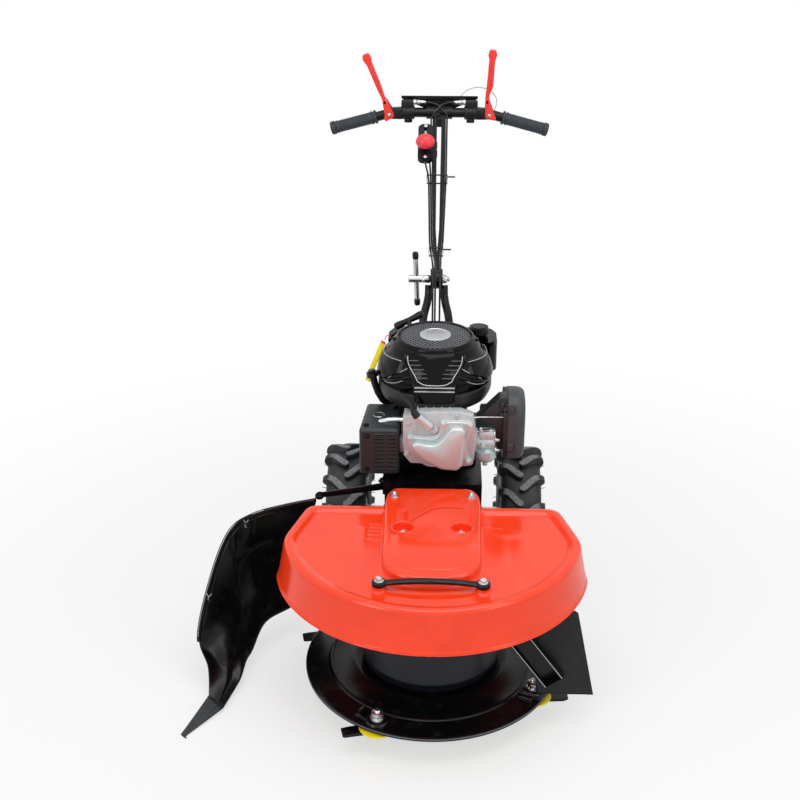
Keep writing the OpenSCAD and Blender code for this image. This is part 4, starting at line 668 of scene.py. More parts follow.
join(deck, cup, shift(POCKET_X, POCKET_Y, 0), shift(-POCKET_X, POCKET_Y, 0))
boss = turned([(21, 349), (17, 350), (14.6, 352), (13.6, 355), (13, 359.4), (0, 359.6)], 32)
join(deck, boss, shift(EYE_X, EYE_Y, 0), shift(-EYE_X, EYE_Y, 0))
# an open sheet: its outer face looks up
for face in deck.faces:
    if face.normal.z < -0.05:
        face.normal_flip()
piece("deck_pressing", deck, "chassis", "red_paint", red_enamel, "deck_cover", sharp=50, sheet=2.2,
      keep_normals=True)

bolts = bmesh.new()
for x, y, z, stud in ((81, 141, 376.6, 5), (POCKET_X, POCKET_Y, 360.8, 3), (EYE_X, EYE_Y, 369.2, 2)):
    for side in (-1, 1):
        join(bolts, hex_head(7.2, 5.4, 9.5, stud), aim((side * x, y, z), side=(1, 0.3 * side, 0)))
piece("deck_fasteners", bolts, "chassis", "zinc_steel", zinc_plate, "deck_bolts")

# Strap handle: moulded eyes on bosses, and a slightly arched strap between them
strap = bmesh.new()
section = [(-6.5, -2.6), (-5.2, -3.8), (5.2, -3.8), (6.5, -2.6), (6.5, 2), (4.6, 3.9), (-4.6, 3.9),
           (-6.5, 2)]
path = []
for k in range(33):
    x = -93 + 186 * k / 32
    rise = 6.5 * (1 - (x / 93) ** 2)
    swell = 1 + 0.35 * soft(70, 92, abs(x))
    path.append([(x, EYE_Y + y * swell, 363.8 + rise + z * (1 - 0.15 * soft(60, 90, abs(x))))
                 for y, z in section])
join(strap, skin(path))
eye = bmesh.new()
join(eye, turned([(0, 0), (13.2, 0), (14, 1), (14, 8), (12.8, 9.6), (9, 10), (0, 10)], 32))
join(strap, eye, shift(EYE_X, EYE_Y, EYE_Z), shift(-EYE_X, EYE_Y, EYE_Z))
piece("lift_strap", strap, "chassis", "black_plastic", satin_abs, "lift_handle", sharp=45)

# ---- Engine: blower housing and starter ----------------------------------------------
CRANK_Y = 380.0                               # crankshaft's axis


def patch(shape, across, up):
    """Sheet whose points follow shape(u, v), both from 0 to 1."""
    part = bmesh.new()
    bmesh.ops.create_grid(part, x_segments=across, y_segments=up, size=0.5)
    for v in part.verts:
        v.co = shape(v.co.x + 0.5, v.co.y + 0.5)
    return part


# side of the housing from the starter's ring down: (radius, height)
DOME = [(84, 640), (90, 638.5), (94.5, 634), (99, 626), (105, 617), (111, 607), (116.5, 596),
        (120.5, 583), (123, 570), (123.6, 562), (121.5, 558.5), (121.5, 556), (123.2, 553),
        (123.2, 536), (122.4, 531), (119.5, 524), (117.5, 518)]


def dome_radius(z):
    """Radius of the housing at a height."""
    for (r0, z0), (r1, z1) in zip(DOME, DOME[1:]):
        if z1 <= z <= z0:
            return r0 + (r1 - r0) * (z0 - z) / max(0.01, z0 - z1)
    return DOME[-1][0]


def on_dome(turn, z, proud=0.0):
    """Point of the housing, turn degrees from its front towards +X."""
    a = math.radians(turn)
    r = dome_radius(z) + proud
    return Vector((r * math.sin(a), CRANK_Y - r * math.cos(a), z))


def side_shell(side):
    """Shape of the raised shell on one side of the housing, with its swept lower edge."""
    def shape(u, v):
        turn = 36 + 104 * u
        low = 566 + 26 * soft(0.35, 0.0, u) - 6 * math.sin(math.pi * u)
        high = 625 - 9 * soft(0.0, 0.5, u) - 16 * soft(0.6, 1.0, u)
        edge = min(soft(0, 0.10, u), soft(1, 0.92, u), soft(0, 0.13, v), soft(1, 0.86, v))
        return on_dome(side * turn, low + (high - low) * v, -1.2 + 6.2 * edge)
    return shape


def side_brow(side):
    """Shape of the rib that curves down one side of the housing."""
    def shape(u, v):
        turn = 20 + 62 * u
        mid = 600 - 46 * u ** 0.8
        edge = min(soft(0, 0.12, u), soft(1, 0.9, u)) * math.sin(math.pi * v)
        return on_dome(side * turn, mid + 9 * (v - 0.5), -0.8 + 5.4 * edge)
    return shape


housing = bmesh.new()
join(housing, turned(DOME + [(114, 516.5), (113, 519)], 112), shift(0, CRANK_Y, 0))
for side in (-1, 1):
    join(housing, patch(side_shell(side), 44, 22))
    join(housing, patch(side_brow(side), 30, 8))
# middle line of the front panel: (depth, height)
PANEL = [(247, 512), (245.5, 524), (245.5, 538), (246.5, 547), (250, 561), (256, 577), (263, 592),
         (272, 606), (281, 617), (290, 626), (298, 633)]


def panel_front(z):
    """Depth of the front panel's middle at a height."""
    for (y0, z0), (y1, z1) in zip(PANEL, PANEL[1:]):
        if z0 <= z <= z1:
            return y0 + (y1 - y0) * (z - z0) / (z1 - z0)
    return PANEL[0][0]


def well_half(z):
    """Half the width of the slatted well."""
    return 33 + 24 * soft(580, 628, z)


def pillar_half(z):
    """Half the width of the pillar in the middle of the well."""
    return 13 + 9 * soft(580, 628, z)


def well(x, z):
    """Share of the depth of the slatted well at a point of the front panel."""
    bottom = 581 + 8 * (abs(x) / 34) ** 3
    return soft(well_half(z) + 1.2, well_half(z) - 1.2, abs(x)) * soft(bottom - 1, bottom + 1.5, z) \
        * soft(632, 629, z) * soft(pillar_half(z) - 1, pillar_half(z) + 1.2, abs(x))


def panel_half(z):
    """Half the width of the front panel."""
    return 43 + 7 * soft(545, 575, z) + 18 * soft(570, 630, z)


def front_panel(u, v):
    """Front panel, with its well, its raised pillar and two steps below."""
    z = 513 + 119 * v
    x = (2 * u - 1) * panel_half(z)
    crown = 5 * (2 * u - 1) ** 2 + 13 * soft(0.88, 1.0, abs(2 * u - 1))
    raised = 2.5 * soft(pillar_half(z) + 1, pillar_half(z) - 1, abs(x)) * soft(580, 585, z)
    step = 2.0 * (soft(579, 577, z) + soft(572, 570, z) - soft(575.5, 573.5, z))
    return Vector((x, panel_front(z) + crown + 8.5 * well(x, z) - raised - step, z))


join(housing, patch(front_panel, 96, 90))
slats = bmesh.new()
for side in (-1, 1):
    for k in range(5):
        z = 593 + 7.6 * k
        y = panel_front(z)
        slat = block((pillar_half(z) + 1, -4.5, -0.9), (well_half(z), 3.5, 0.9), 0.5)
        join(slats, slat, shift(0, y + 3.6, z) @ Matrix.Scale(side, 4, (1, 0, 0)) @ spun(-34, "X"))
# the slats' grey stands for a painted highlight on black plastic
piece("shroud_slats", slats, "chassis", "black_plastic", grey_mesh_and_painted_highlight)
piece("blower_shroud", housing, "chassis", "black_plastic", gloss_abs, "blower_housing", sharp=34)

# painted highlights as bright lines: along the well's edge, along the shells' upper edges, and over the
# dome in sweeps given as (turn, height)
HIGHLIGHT_SWEEPS = [[(27, 616), (36, 602), (50, 584), (60, 566)], [(30, 588), (42, 573), (56, 564), (70, 560)],
          [(60, 604), (70, 590), (77, 574), (80, 560)], [(84, 612), (92, 596), (97, 578)]]
highlight_lines = bmesh.new()
line = []
for k in range(49):
    t = -1 + k / 24
    bend = min(1.0, abs(t) / 0.5)
    z = 581 + 7 * bend ** 4 + 43 * max(0.0, abs(t) - 0.5) / 0.5
    x = math.copysign(34.5 * bend if bend < 1 else well_half(z) + 1.4, t)
    line.append((x, panel_front(z) + 5 * (x / 58) ** 2 - 0.6, z))
join(highlight_lines, round_bar(line, 1.15, 8, smooth=False))
for side in (-1, 1):
    join(highlight_lines, round_bar([on_dome(side * (36 + 104 * k / 20), 619.5 - 8 * soft(0, 0.5, k / 20)
                                  - 15 * soft(0.6, 1, k / 20), 4.6) for k in range(1, 20)], 0.8, 6))
    for sweep in HIGHLIGHT_SWEEPS:
        join(highlight_lines, round_bar([on_dome(side * turn, z, 0.5) for turn, z in sweep], 0.9, 6))
# two painted highlights along the steps below the well
for z in (576.5, 569):
    join(highlight_lines, block((-43, panel_front(z) - 2.2, z - 1.1), (43, panel_front(z) + 1, z + 1.1), 0.7))
piece("shroud_painted_highlights", highlight_lines, "chassis", "black_plastic", pale_grey_painted_highlight)

# satin band round the foot of the housing, and its lip over the fins
band = bmesh.new()
join(band, turned([(123.9, 555), (125.2, 553.5), (125.2, 536), (124, 530), (120.5, 522.5),
                   (118, 517.5), (115.5, 517), (115.5, 522), (122, 552)], 112),
     shift(0, CRANK_Y, 0))
rings = []
for y, spread in ((300, 4), (256, 2), (246.4, 0), (244.2, -2), (243.6, -4)):
    low, high = 42 + spread, 41 + spread
    rings.append([(p.x, y, p.y) for p in filleted(
        [(-low, 511, 3), (low, 511, 3), (high, 543, 3), (-high, 543, 3)], 3)])
join(band, skin(rings))
piece("shroud_foot_band", band, "chassis", "black_plastic", charcoal_abs)

seams = bmesh.new()
for side in (-1, 1):
    join(seams, round_bar([(side * 43.5, 243.8, 514), (side * 43.5, 243.4, 542)], 0.9, 6, smooth=False))
    join(seams, round_bar([(side * panel_half(z), panel_front(z) + 16, z)
                           for z in range(544, 632, 8)], 0.9, 6))
piece("shroud_seams", seams, "chassis", "black_plastic", belt_rubber)

# starter: perforated screen in its ring, with a plain round plate
screen = bmesh.new()
bmesh.ops.create_grid(screen, x_segments=21, y_segments=21, size=80)
screen.transform(spun(45, "Z"))
bmesh.ops.delete(screen, context="FACES",
                 geom=[f for f in screen.faces if not 31 < f.calc_center_median().length < 79])
cells = screen.faces[:]
bmesh.ops.inset_individual(screen, faces=cells, thickness=1.5)
bmesh.ops.delete(screen, context="FACES_ONLY", geom=cells)
for v in screen.verts:
    v.co.z = 645.6 + 3.2 * (1 - (v.co.to_2d().length / 79) ** 2)
screen.transform(shift(0, CRANK_Y, 0))
piece("starter_screen", screen, "chassis", "black_plastic", grey_mesh_and_painted_highlight, "starter_cover", sheet=2.2)

collar = bmesh.new()
join(collar, turned([(77, 640), (77, 646.5), (78, 648), (80, 648.6), (83, 647.8), (85.6, 645.5),
                     (87, 641.5), (87.5, 636)], 112), shift(0, CRANK_Y, 0))
join(collar, disc(78, 2, 0, 64), shift(0, CRANK_Y, 636))
for k in range(6):
    a = math.radians(60 * k + 30)
    join(collar, block((-5, -4, 0), (5, 5, 7), 1.5),
         shift(89 * math.sin(a), CRANK_Y - 89 * math.cos(a), 634) @ Matrix.Rotation(-a, 4, "Z"))
piece("starter_ring", collar, "chassis", "black_plastic", gloss_abs)
centre_plate = turned([(33.5, 646), (34.5, 648.6), (33.6, 650), (31.4, 650.4), (30.4, 649.6),
                       (28, 649.9), (14, 650.9), (0, 651.2)], 72)
centre_plate.transform(shift(0, CRANK_Y, 0))
piece("starter_plain_plate", centre_plate, "chassis", "bright_aluminium", brushed_plate)

# recoil handle, standing on the end of its rope
grip = bmesh.new()
rope_dir = Vector((-0.1, 0.75, 0.65)).normalized()
root = Vector((-58, 462, 626))
handle = root + 24 * rope_dir
across = Vector((0.88, 0, 0.47)).normalized()
join(grip, turned([(0, -36), (5, -36.6), (8.2, -33), (8.6, -24), (7.2, -12), (6.6, 0), (7.2, 12),
                   (8.6, 24), (8.2, 33), (5, 36.6), (0, 36)], 28), aim(handle, across, rope_dir))
join(grip, round_bar([root + 3 * rope_dir, handle], 2.2, 8, smooth=False))
join(grip, disc(5.5, 8, 1, 24), aim(handle - 12 * rope_dir, rope_dir))
piece("starter_handle", grip, "starter_grip", "black_plastic", satin_abs, "starter_grip")

# ---- Engine: head, muffler, carburettor, air cleaner ---------------------------------
HEAD_Y, HEAD_Z = 214.0, 414.0                 # face and foot of the cylinder head
# outlines of the valve cover's flange and of its pan, across and up from the head's foot
FLANGE = [(-22, 14), (2, 0), (18, -7), (36, -9), (51, -9), (62, 2), (71, 4), (80, 8), (82, 16), (74, 27),
          (71, 44), (72, 62), (78, 77), (84, 91), (83, 101), (77, 108), (70, 110), (46, 110),
          (22, 110), (15, 104), (13, 94), (11, 83), (6, 76), (-5, 72), (-22, 71.5), (-41, 73.5),
          (-50, 76), (-56, 71), (-54, 54), (-50, 40), (-38, 28)]
PAN = [(-20, 24), (2, 11), (18, 3), (28, 1), (37, 0.5), (49, 1), (58, 6), (61.5, 20), (63, 44),
       (64, 74), (66, 86), (63, 94.5), (57, 98), (43, 98), (35, 95), (28, 86), (18.5, 73), (8, 62),
       (-4, 58), (-21, 60), (-31, 63), (-42, 60.5), (-46, 55), (-43, 47), (-35, 38)]
FACE_ON = shift(0, HEAD_Y, HEAD_Z) @ UPRIGHT
cover = bmesh.new()
join(cover, plate(curved(FLANGE, 3, True), 6.5, 1.3, 2, 40), FACE_ON)
rings = []
for out, lift in ((3.4, 5.5), (1.6, 7), (0.8, 9), (0.2, 17), (-0.4, 21), (-1.6, 23.4), (-3.6, 24.4)):
    rings.append([Vector((p.x, p.y, lift)) for p in grown(curved(PAN, 4, True), out)])
join(cover, skin(rings), FACE_ON)
# bead that follows the upper edge between the flange and the pan
bead = [(p.x, p.y, 6.8) for p in curved([(-50, 69), (-41, 67), (-21, 65.5), (-4, 65), (8, 69), (14, 78),
                                         (19, 90), (24, 101), (34, 104.5), (60, 104.5), (72, 101),
                                         (76, 92), (70, 76)], 5)]
join(cover, round_bar(bead, 2.2, 10, smooth=False), FACE_ON)
for x, z in ((-50, 69), (74, 15), (77, 100), (20, 103)):
    join(cover, disc(6.6, 9, 1.2, 24), FACE_ON @ shift(x, z, 0))
    join(cover, hex_head(4.6, 4, 6.2), FACE_ON @ shift(x, z, 8.6))
piece("rocker_cover", cover, "chassis", "bright_aluminium", bright_alloy, "valve_cover", sharp=42)

# finned barrel and head; outline as (across, up, corner radius)
head = bmesh.new()
HEAD = [(-62, 20, 5), (-50, 4, 5), (-20, 2, 4), (20, -8, 4), (84, 0, 8), (92, 60, 8), (84, 117, 8),
        (56, 126, 5), (-30, 124, 6), (-44, 116, 6), (-66, 112, 5), (-66, 60, 5)]
join(head, plate(filleted(HEAD, 4), 26, 1.6), shift(0, HEAD_Y + 26, HEAD_Z) @ UPRIGHT)
for k in range(8):
    y = HEAD_Y + 32 + 7.2 * k
    fin = plate(filleted([(-66, -34, 20), (67, -34, 20), (67, 62, 12), (-66, 62, 12)], 5), 2.0, 0.7)
    join(head, fin, shift(0, y, 452) @ UPRIGHT)
join(head, disc(44, 90, 0, 48), aim((0, 310, 450), (0, -1, 0)))
join(head, block((-74, 238, 430), (-40, 264, 464), 3))
join(head, block((40, 238, 434), (90, 266, 468), 3))
for x, z, r in ((-54, 512, 6), (-40, 498, 5), (-52, 478, 5), (-58, 440, 6), (48, 532, 5)):
    join(head, disc(r, 5, 1, 20), aim((x, HEAD_Y + 2, z), (0, -1, 0)))
for k in range(5):
    join(head, block((-36 + 17 * k, 216, 500), (-33.5 + 17 * k, 240, 541), 0.8))
piece("cylinder_casting", head, "chassis", "cast_aluminium", finned_alloy, "engine_cylinder", sharp=35)

# spark plug in its metal sleeve, with its boot and lead
plug = bmesh.new()
join(plug, round_bar([(-8, 208, 508), (-37, 199, 539)], 8.2, 20, smooth=False))
join(plug, hex_head(9.5, 6, 8.5), aim((3, 213, 497), (-14, -6, 15)))
piece("plug_sleeve", plug, "chassis", "zinc_steel", bright_alloy)
boot = bmesh.new()
join(boot, turned([(0, -2), (8.8, -2), (9, 0), (8, 2), (8, 8), (7, 10.5), (5.6, 14), (4.4, 16), (0, 16)],
                  24), aim((-37, 199, 538.6), (-14, -3, 22)))
join(boot, round_bar([(-45, 197.5, 551), (-49, 202, 560), (-58, 220, 563), (-70, 250, 561),
                      (-78.5, 279, 556)], 3.4, 12))
piece("plug_boot_and_lead", boot, "chassis", "black_rubber", belt_rubber, "spark_plug")

# muffler guard: folded sheet with rounded edges and two rows of louvres
guard = bmesh.new()
rings = []
for y, inset, r in ((347, 0, 9), (229, 0, 9), (224.5, 1, 8.5), (221.6, 3, 7), (220.3, 6, 5)):
    lean = 10 * soft(220, 347, y)
    rings.append([(p.x, y, p.y) for p in filleted(
        [(-160 + lean + inset, 384 + inset, r), (-73 - inset, 384 + inset, r),
         (-73 - inset, 494 - inset, r), (-160 + lean + inset, 494 - inset, r)], 4)])
join(guard, skin(rings, caps=False))
for a, b in ((-154.2, -127.5), (-106.5, -100.5), (-79.5, -78.8)):
    join(guard, block((a, 220.2, 390), (b, 221.9, 488)))
rows = [479 - 9.3 * k for k in range(10)]
for a, b in ((-127.5, -106.5), (-100.5, -79.5)):
    levels = [488] + [v for z in rows for v in (z + 4.6, z)] + [390]
    for top_z, low_z in zip(levels[::2], levels[1::2]):
        join(guard, block((a - 0.1, 220.2, low_z), (b + 0.1, 221.9, top_z)))
    for z in rows:
        join(guard, block((a, -3.4, -0.5), (b, 0.6, 0.5)), shift(0, 221.4, z + 4.4) @ spun(28, "X"))
piece("muffler_shield", guard, "chassis", "dark_steel", charcoal_paint_and_painted_sheen, "muffler_guard")
piece("muffler_body", block((-150, 232, 392), (-80, 345, 486), 8), "chassis", "dark_steel", soot_steel,
      "muffler")
outlet = bmesh.new()
join(outlet, turned([(13, 494.4), (12.4, 495), (11.4, 494.6), (10.8, 490), (0, 490)], 32),
     shift(-121, 292, 0))
join(outlet, round_bar([(-118, 262, 490), (-102, 262, 495), (-88, 262, 497), (-62, 262, 497)], 6.4, 16))
piece("muffler_outlet", outlet, "chassis", "zinc_steel", zinc_plate)
screws = bmesh.new()
for x, y in ((-146, 240), (-86, 330)):
    join(screws, hex_head(5, 3.4, 7), shift(x, y, 494))
for z in (400, 478):
    join(screws, hex_head(4, 3, 5.5), aim((-143, 220.2, z), (0, -1, 0)))
piece("muffler_screws", screws, "chassis", "dark_steel", black_oxide)

# carburettor
carb = bmesh.new()
join(carb, eased(disc(19, 42, 0, 40), 2, 2, 50), aim((88, 258, 452), (1, 0, 0)))
for x in (90, 127):
    join(carb, plate(filleted([(-27, -14, 8), (27, -14, 8), (27, 14, 8), (-27, 14, 8)], 4), 5, 1),
         aim((x, 258, 452), (1, 0, 0), (0, 0, 1)))
join(carb, turned([(0, 401), (5, 401), (7, 405), (17, 409), (22.5, 415), (23.5, 421), (23.5, 431),
                   (25.5, 432), (25.5, 435.5), (21, 436.5), (16, 440), (0, 441)], 44),
     shift(112, 254, 0))
join(carb, hex_head(6, 7, 0), aim((112, 254, 402), (0, 0, -1)))
join(carb, block((97, 240, 462), (128, 268, 481), 2.5))
for x, y in ((103, 246), (122, 246)):
    join(carb, hex_head(3.6, 2.6, 4.8), shift(x, y, 481))
join(carb, disc(5, 12, 1, 20), aim((106, 240, 452), (0, -1, 0)))
piece("carburettor_body", carb, "chassis", "bright_aluminium", bright_alloy, "carburettor")
links = bmesh.new()
join(links, round_bar([(48, 238, 528), (56, 236, 516), (96, 250, 512), (156, 258, 509)], 1.7, 8))
join(links, plate(filleted([(-6, -6, 5), (30, -4, 4), (30, 4, 4), (-6, 6, 5)], 4), 1.6, 0.4),
     aim((100, 244, 483), (0, 0, 1), (1, 0.2, 0)))
join(links, round_bar([(70, 246, 468), (84, 240, 478), (104, 242, 484)], 1.2, 6))
join(links, hex_head(4, 3, 6, 2), shift(100, 244, 484.6))
for z in (441, 463):
    join(links, hex_head(4.6, 4, 6.5, 3), aim((132, 236 if z < 450 else 240, z), (1, 0, 0)))
piece("carburettor_linkage", links, "chassis", "zinc_steel", zinc_plate)

# air cleaner: door-shaped cover on its seat
def door(g, x):
    """Outline of the air cleaner's cover at x, drawn in by g."""
    line = filleted([(250 + g, 407 + g, 20 - g * 0.6), (362 - g, 407 + g, 20 - g * 0.6),
                     (362 - g, 553 - g, 54 - g), (250 + g, 553 - g, 54 - g)], 8)
    return [(x, p.x, p.y) for p in line]


cleaner = bmesh.new()
join(cleaner, skin([door(0.6, 158.4), door(0, 159), door(0, 176), door(0.8, 182), door(2.6, 188),
                    door(6, 192.6), door(11, 195.4), door(18, 196.4), door(20, 195.6), door(24, 195.6),
                    door(26, 196.4), door(38, 196.8)]))
for z in (430, 520):
    join(cleaner, block((158, 246, z), (172, 254, z + 22), 2))
piece("air_filter_cover", cleaner, "chassis", "grey_plastic", grey_pp, "air_cleaner_cover", sharp=40)
seat = bmesh.new()
base = [(92, 432, 4), (158, 427, 4), (158, 552, 4), (139, 550, 8), (97, 505, 8), (92, 500, 3)]
join(seat, plate(filleted(base, 4), 36, 2.2), shift(0, 300, 0) @ UPRIGHT)
for z, half in ((446, 30), (464, 28), (486, 26)):
    join(seat, block((126 - half + 6, 261.6, z - 1.6), (126 + half, 265, z + 1.6), 1))
join(seat, skin([door(2.5, 149), door(1.5, 150.5), door(1.5, 158)]))
join(seat, block((100, 299, 442), (156, 350, 500), 6))
for z in (512, 536):
    join(seat, turned([(0, 0), (7, 0), (7, 6), (5.6, 8), (0, 8)], 24), aim((146, 264, z), (0, -1, 0)))
piece("air_filter_seat", seat, "chassis", "black_plastic", charcoal_abs, "air_cleaner_base")
clips = bmesh.new()
for z in (438, 532):
    join(clips, round_bar([(150, 262, z + 8), (156, 248.6, z + 8), (170, 247.6, z + 8), (172, 247.6, z),
                           (170, 247.6, z - 8), (156, 248.6, z - 8), (150, 262, z - 8)], 1.3, 8))
piece("air_filter_clips", clips, "chassis", "dark_steel", black_oxide)

# ---- Tyres ---------------------------------------------------------------------------
LUGS = 14                                     # on each side
HALF_TRACK = 202.0
TREAD_EDGE = 37                               # where the tread turns down into the shoulder
SHOULDER_R = 9
CROWN_R = 145.4
ALONG_R = 145                                 # radius at which lengths along the tread are measured
# section from the inner bead over the crown, as (radius, across)
CARCASS = [(84.4, -38), (85, -41), (89, -44), (95, -45.4), (99, -45.6), (101, -47), (105, -47.2),
           (118, -47.4), (126, -46.8), (133, -45.4), (138, -42.6), (141.5, -38), (144, -31), (145, -16),
           (145.4, 0)]
CARCASS += [(r, -x) for r, x in reversed(CARCASS[:-1])] + [CARCASS[0]]
# middle line of a lug from its rounded tip out to the shoulder: (across, along the tread)
LUG = [(-4, -27.5), (4, -26), (12, -20), (20, -12), (28, -5), (36, -1), (43, 0.5), (50, 1), (57, 1.5),
       (63, 2)]


def on_tread(across, along, lift):
    """Point of the tyre in its own frame (X outward, Y to the rear, Z up), lift off the carcass."""
    past = across - TREAD_EDGE
    if past <= 0:
        x, r, lean = across, CROWN_R - 2.4 * (across / TREAD_EDGE) ** 2, 0.03 * across / TREAD_EDGE
    else:
        lean = min(past / 10, math.pi / 2)
        x = TREAD_EDGE + SHOULDER_R * math.sin(lean)
        r = 134 + SHOULDER_R * math.cos(lean) - max(0, past - 5 * math.pi)
    x, r = x + lift * math.sin(lean), r + lift * math.cos(lean)
    return Vector((x, -r * math.cos(along / ALONG_R), r * math.sin(along / ALONG_R)))


def lug():
    """One lug on the outer half of the tread, lowest where it runs down the side."""
    path = curved(LUG, 3)
    rings = []
    for i, p in enumerate(path):
        step = (path[min(i + 1, len(path) - 1)] - path[max(i - 1, 0)]).normalized()
        reach = min(1.0, (p - path[0]).length / 7.5)
        half = 6.9 * math.sqrt(max(0.06, 1 - (1 - reach) ** 2))
        tall = 14.6 - 12.8 * soft(40, 61, p.x)
        rings.append([on_tread(p.x - step.y * side if p.x > -5 else p.x, p.y + step.x * side, lift)
                      for side, lift in ((-half * 1.35, -2), (-half * 1.12, tall * 0.6),
                                         (-half, tall - 1.2), (-half * 0.84, tall),
                                         (half * 0.84, tall), (half, tall - 1.2),
                                         (half * 1.12, tall * 0.6), (half * 1.35, -2))])
    return skin(rings)


def around_axle(degrees, mirrored):
    """Turn about the axle, up from the front; mirrored lugs stand on the other side."""
    turn = spun(-degrees, "X")
    return turn @ MIRROR_X if mirrored else turn


# each side's first lug: where its tip stands, in degrees up from the front
for name, wheel_x, phases in (("left", -HALF_TRACK, {False: 34.4, True: 47.2}),
                              ("right", HALF_TRACK, {False: 50.4, True: 37.2})):
    hub = shift(wheel_x, WHEEL_Y, WHEEL_Z)
    body = bmesh.new()
    join(body, turned(CARCASS, 96), hub @ aim((0, 0, 0), (1, 0, 0)))
    for mirrored, tip in phases.items():
        join(body, lug(), *[hub @ around_axle(tip + 10.9 + 360 * k / LUGS, mirrored)
                            for k in range(LUGS)])
        spike = disc(0.9, 11, sides=5, top=0.5)     # moulding nibs on the shoulder
        join(body, spike, *[hub @ around_axle(tip + 360 * (k + off) / LUGS, mirrored)
                            @ aim((44, -141 + drop, 0), (1, -0.12, 0.1))
                            for k in range(LUGS) for off, drop in ((0.12, 0), (0.55, 6))])
    piece(name + "_tread", body, name + "_wheel", "tyre_rubber", tread_rubber, name + "_tyre", sharp=32)
for name, side in (("left", -1), ("right", 1)):
    studs = bmesh.new()
    for k in range(5):
        a = math.tau * k / 5
        place = (side * (HALF_TRACK + 0.2), WHEEL_Y + 34 * math.cos(a), WHEEL_Z + 34 * math.sin(a))
        join(studs, hex_head(5, 4, 6.5, 3), aim(place, (side, 0, 0)))
    piece(name + "_wheel_nuts", studs, name + "_wheel", "zinc_steel", zinc_plate)

# ---- Swath board, rubber flap and their arms -----------------------------------------
# the swath board's upper and lower edges from the stay to the toe, and the toe's tip
UPPER = [(-254, 200, 330), (-318, 168, 332), (-383, 130, 330), (-425, 68, 322), (-464, 32, 224),
         (-490, 0, 108), (-470, -28, 52), (-461, -80, 18)]
LOWER = [(-262, 190, 110), (-312, 166, 76), (-365, 112, 70), (-387, 50, 40), (-396, 20, 34),
         (-401, -22, 22), (-408, -46, 16), (-427, -108, 8)]
TOE = [(-500, -186, 3), (-492, -192, 1)]
BOARD_BACK = Vector((-0.6, 1, 0)).normalized()
upper_line, lower_line = curved(UPPER, 8), curved(LOWER, 8)


def at(line, share):
    """Point at a share of a line."""
    spot = share * (len(line) - 1)
    k = min(int(spot), len(line) - 2)
    return line[k].lerp(line[k + 1], spot - k)


def board(u, v):
    """Front face of the board: u from the deck to the toe's fold, v from its lower edge up."""
    low, high = at(lower_line, u), at(upper_line, u)
    span = (high - low).length
    bow = 0.13 * span * math.sin(math.pi * v)
    bow += 7.5 * soft(0.30, 0.13, v) * soft(0.0, 0.10, v) * soft(0.30, 0.42, u)   # lower flange
    bow -= 2.2 * soft(0.62, 0.66, v) * soft(0.80, 0.66, v) * soft(0.16, 0.2, u) * soft(0.42, 0.38, u)
    for crease in (0.285, 0.40):
        bow -= 1.8 * math.exp(-((u - crease) / 0.006) ** 2) * soft(0.3, 0.5, v)
    return low.lerp(high, v) + bow * BOARD_BACK


piece("swath_sheet", patch(board, 112, 36), "chassis", "black_paint", black_enamel, "swath_board",
      sheet=2.6)
# the toe is the board's black sheet folded forward; its charcoal colour is a painted sheen where it faces
# up
toe = bmesh.new()
tip = [Vector(p) for p in TOE]


def toe_sheet(u, v):
    """Toe, folded forward from the board's end."""
    start = board(1.0, v)
    return start.lerp(tip[1].lerp(tip[0], v), u) + 6 * math.sin(math.pi * v) * (1 - u) * u * BOARD_BACK


join(toe, patch(toe_sheet, 12, 12))
join(toe, round_bar([tip[0], tip[1], tip[1] + Vector((4, -2, 0))], 1.6, 8, smooth=False))
piece("swath_toe", toe, "chassis", "black_paint", charcoal_paint_and_painted_sheen, sheet=2.6)
lip = bmesh.new()
edge = [at(upper_line, k / 60) + 1.2 * BOARD_BACK + Vector((0, 0, 1)) for k in range(45)]
join(lip, round_bar(edge, 4.0, 12, smooth=False))
join(lip, round_bar([p + Vector((7, -4, -6)) for p in edge[12:44]], 1.5, 8, smooth=False))
piece("swath_rolled_lip", lip, "chassis", "black_paint", black_enamel)
# painted highlights: a bright line along the rolled lip, and bright Y-shaped marks at two crumples in it
wear_and_highlights = bmesh.new()
join(wear_and_highlights, round_bar([p + Vector((-0.4, -2.6, 2.8)) for p in edge[14:44]], 0.8, 6, smooth=False))
for k in (20, 36):
    p = edge[k]
    for crumple_highlight, radius in (([(0, -5, 2), (4, -6, -6), (3, -6, -13), (6, -6, -17)], 0.8),
                           ([(11, -4, 1), (8, -6, -3), (5, -6, -5)], 0.6)):
        join(wear_and_highlights, round_bar([p + Vector(step) for step in crumple_highlight], radius, 6))
piece("swath_painted_highlights", wear_and_highlights, "chassis", "black_paint", pale_grey_painted_highlight)

# flat bar from the case's side to the board
arm = bmesh.new()
join(arm, plate(filleted([(-5, -8, 5), (152, -6, 5), (152, 6, 5), (-5, 8, 5)], 3), 5, 1),
     aim((-108, 242, 346), (0.26, -0.97, 0), (-0.97, -0.26, -0.03)))
join(arm, block((-110.5, 226, 332), (-105, 268, 367), 1.5))
join(arm, hex_head(7.5, 5.5, 10, 3), aim((-110.5, 254, 351), (-1, 0, 0)))
join(arm, hex_head(7.5, 5.5, 10, 3), aim((-246, 200, 342), (0.26, -0.97, 0)))
piece("swath_stay", arm, "chassis", "black_paint", black_enamel, "swath_board_arm")

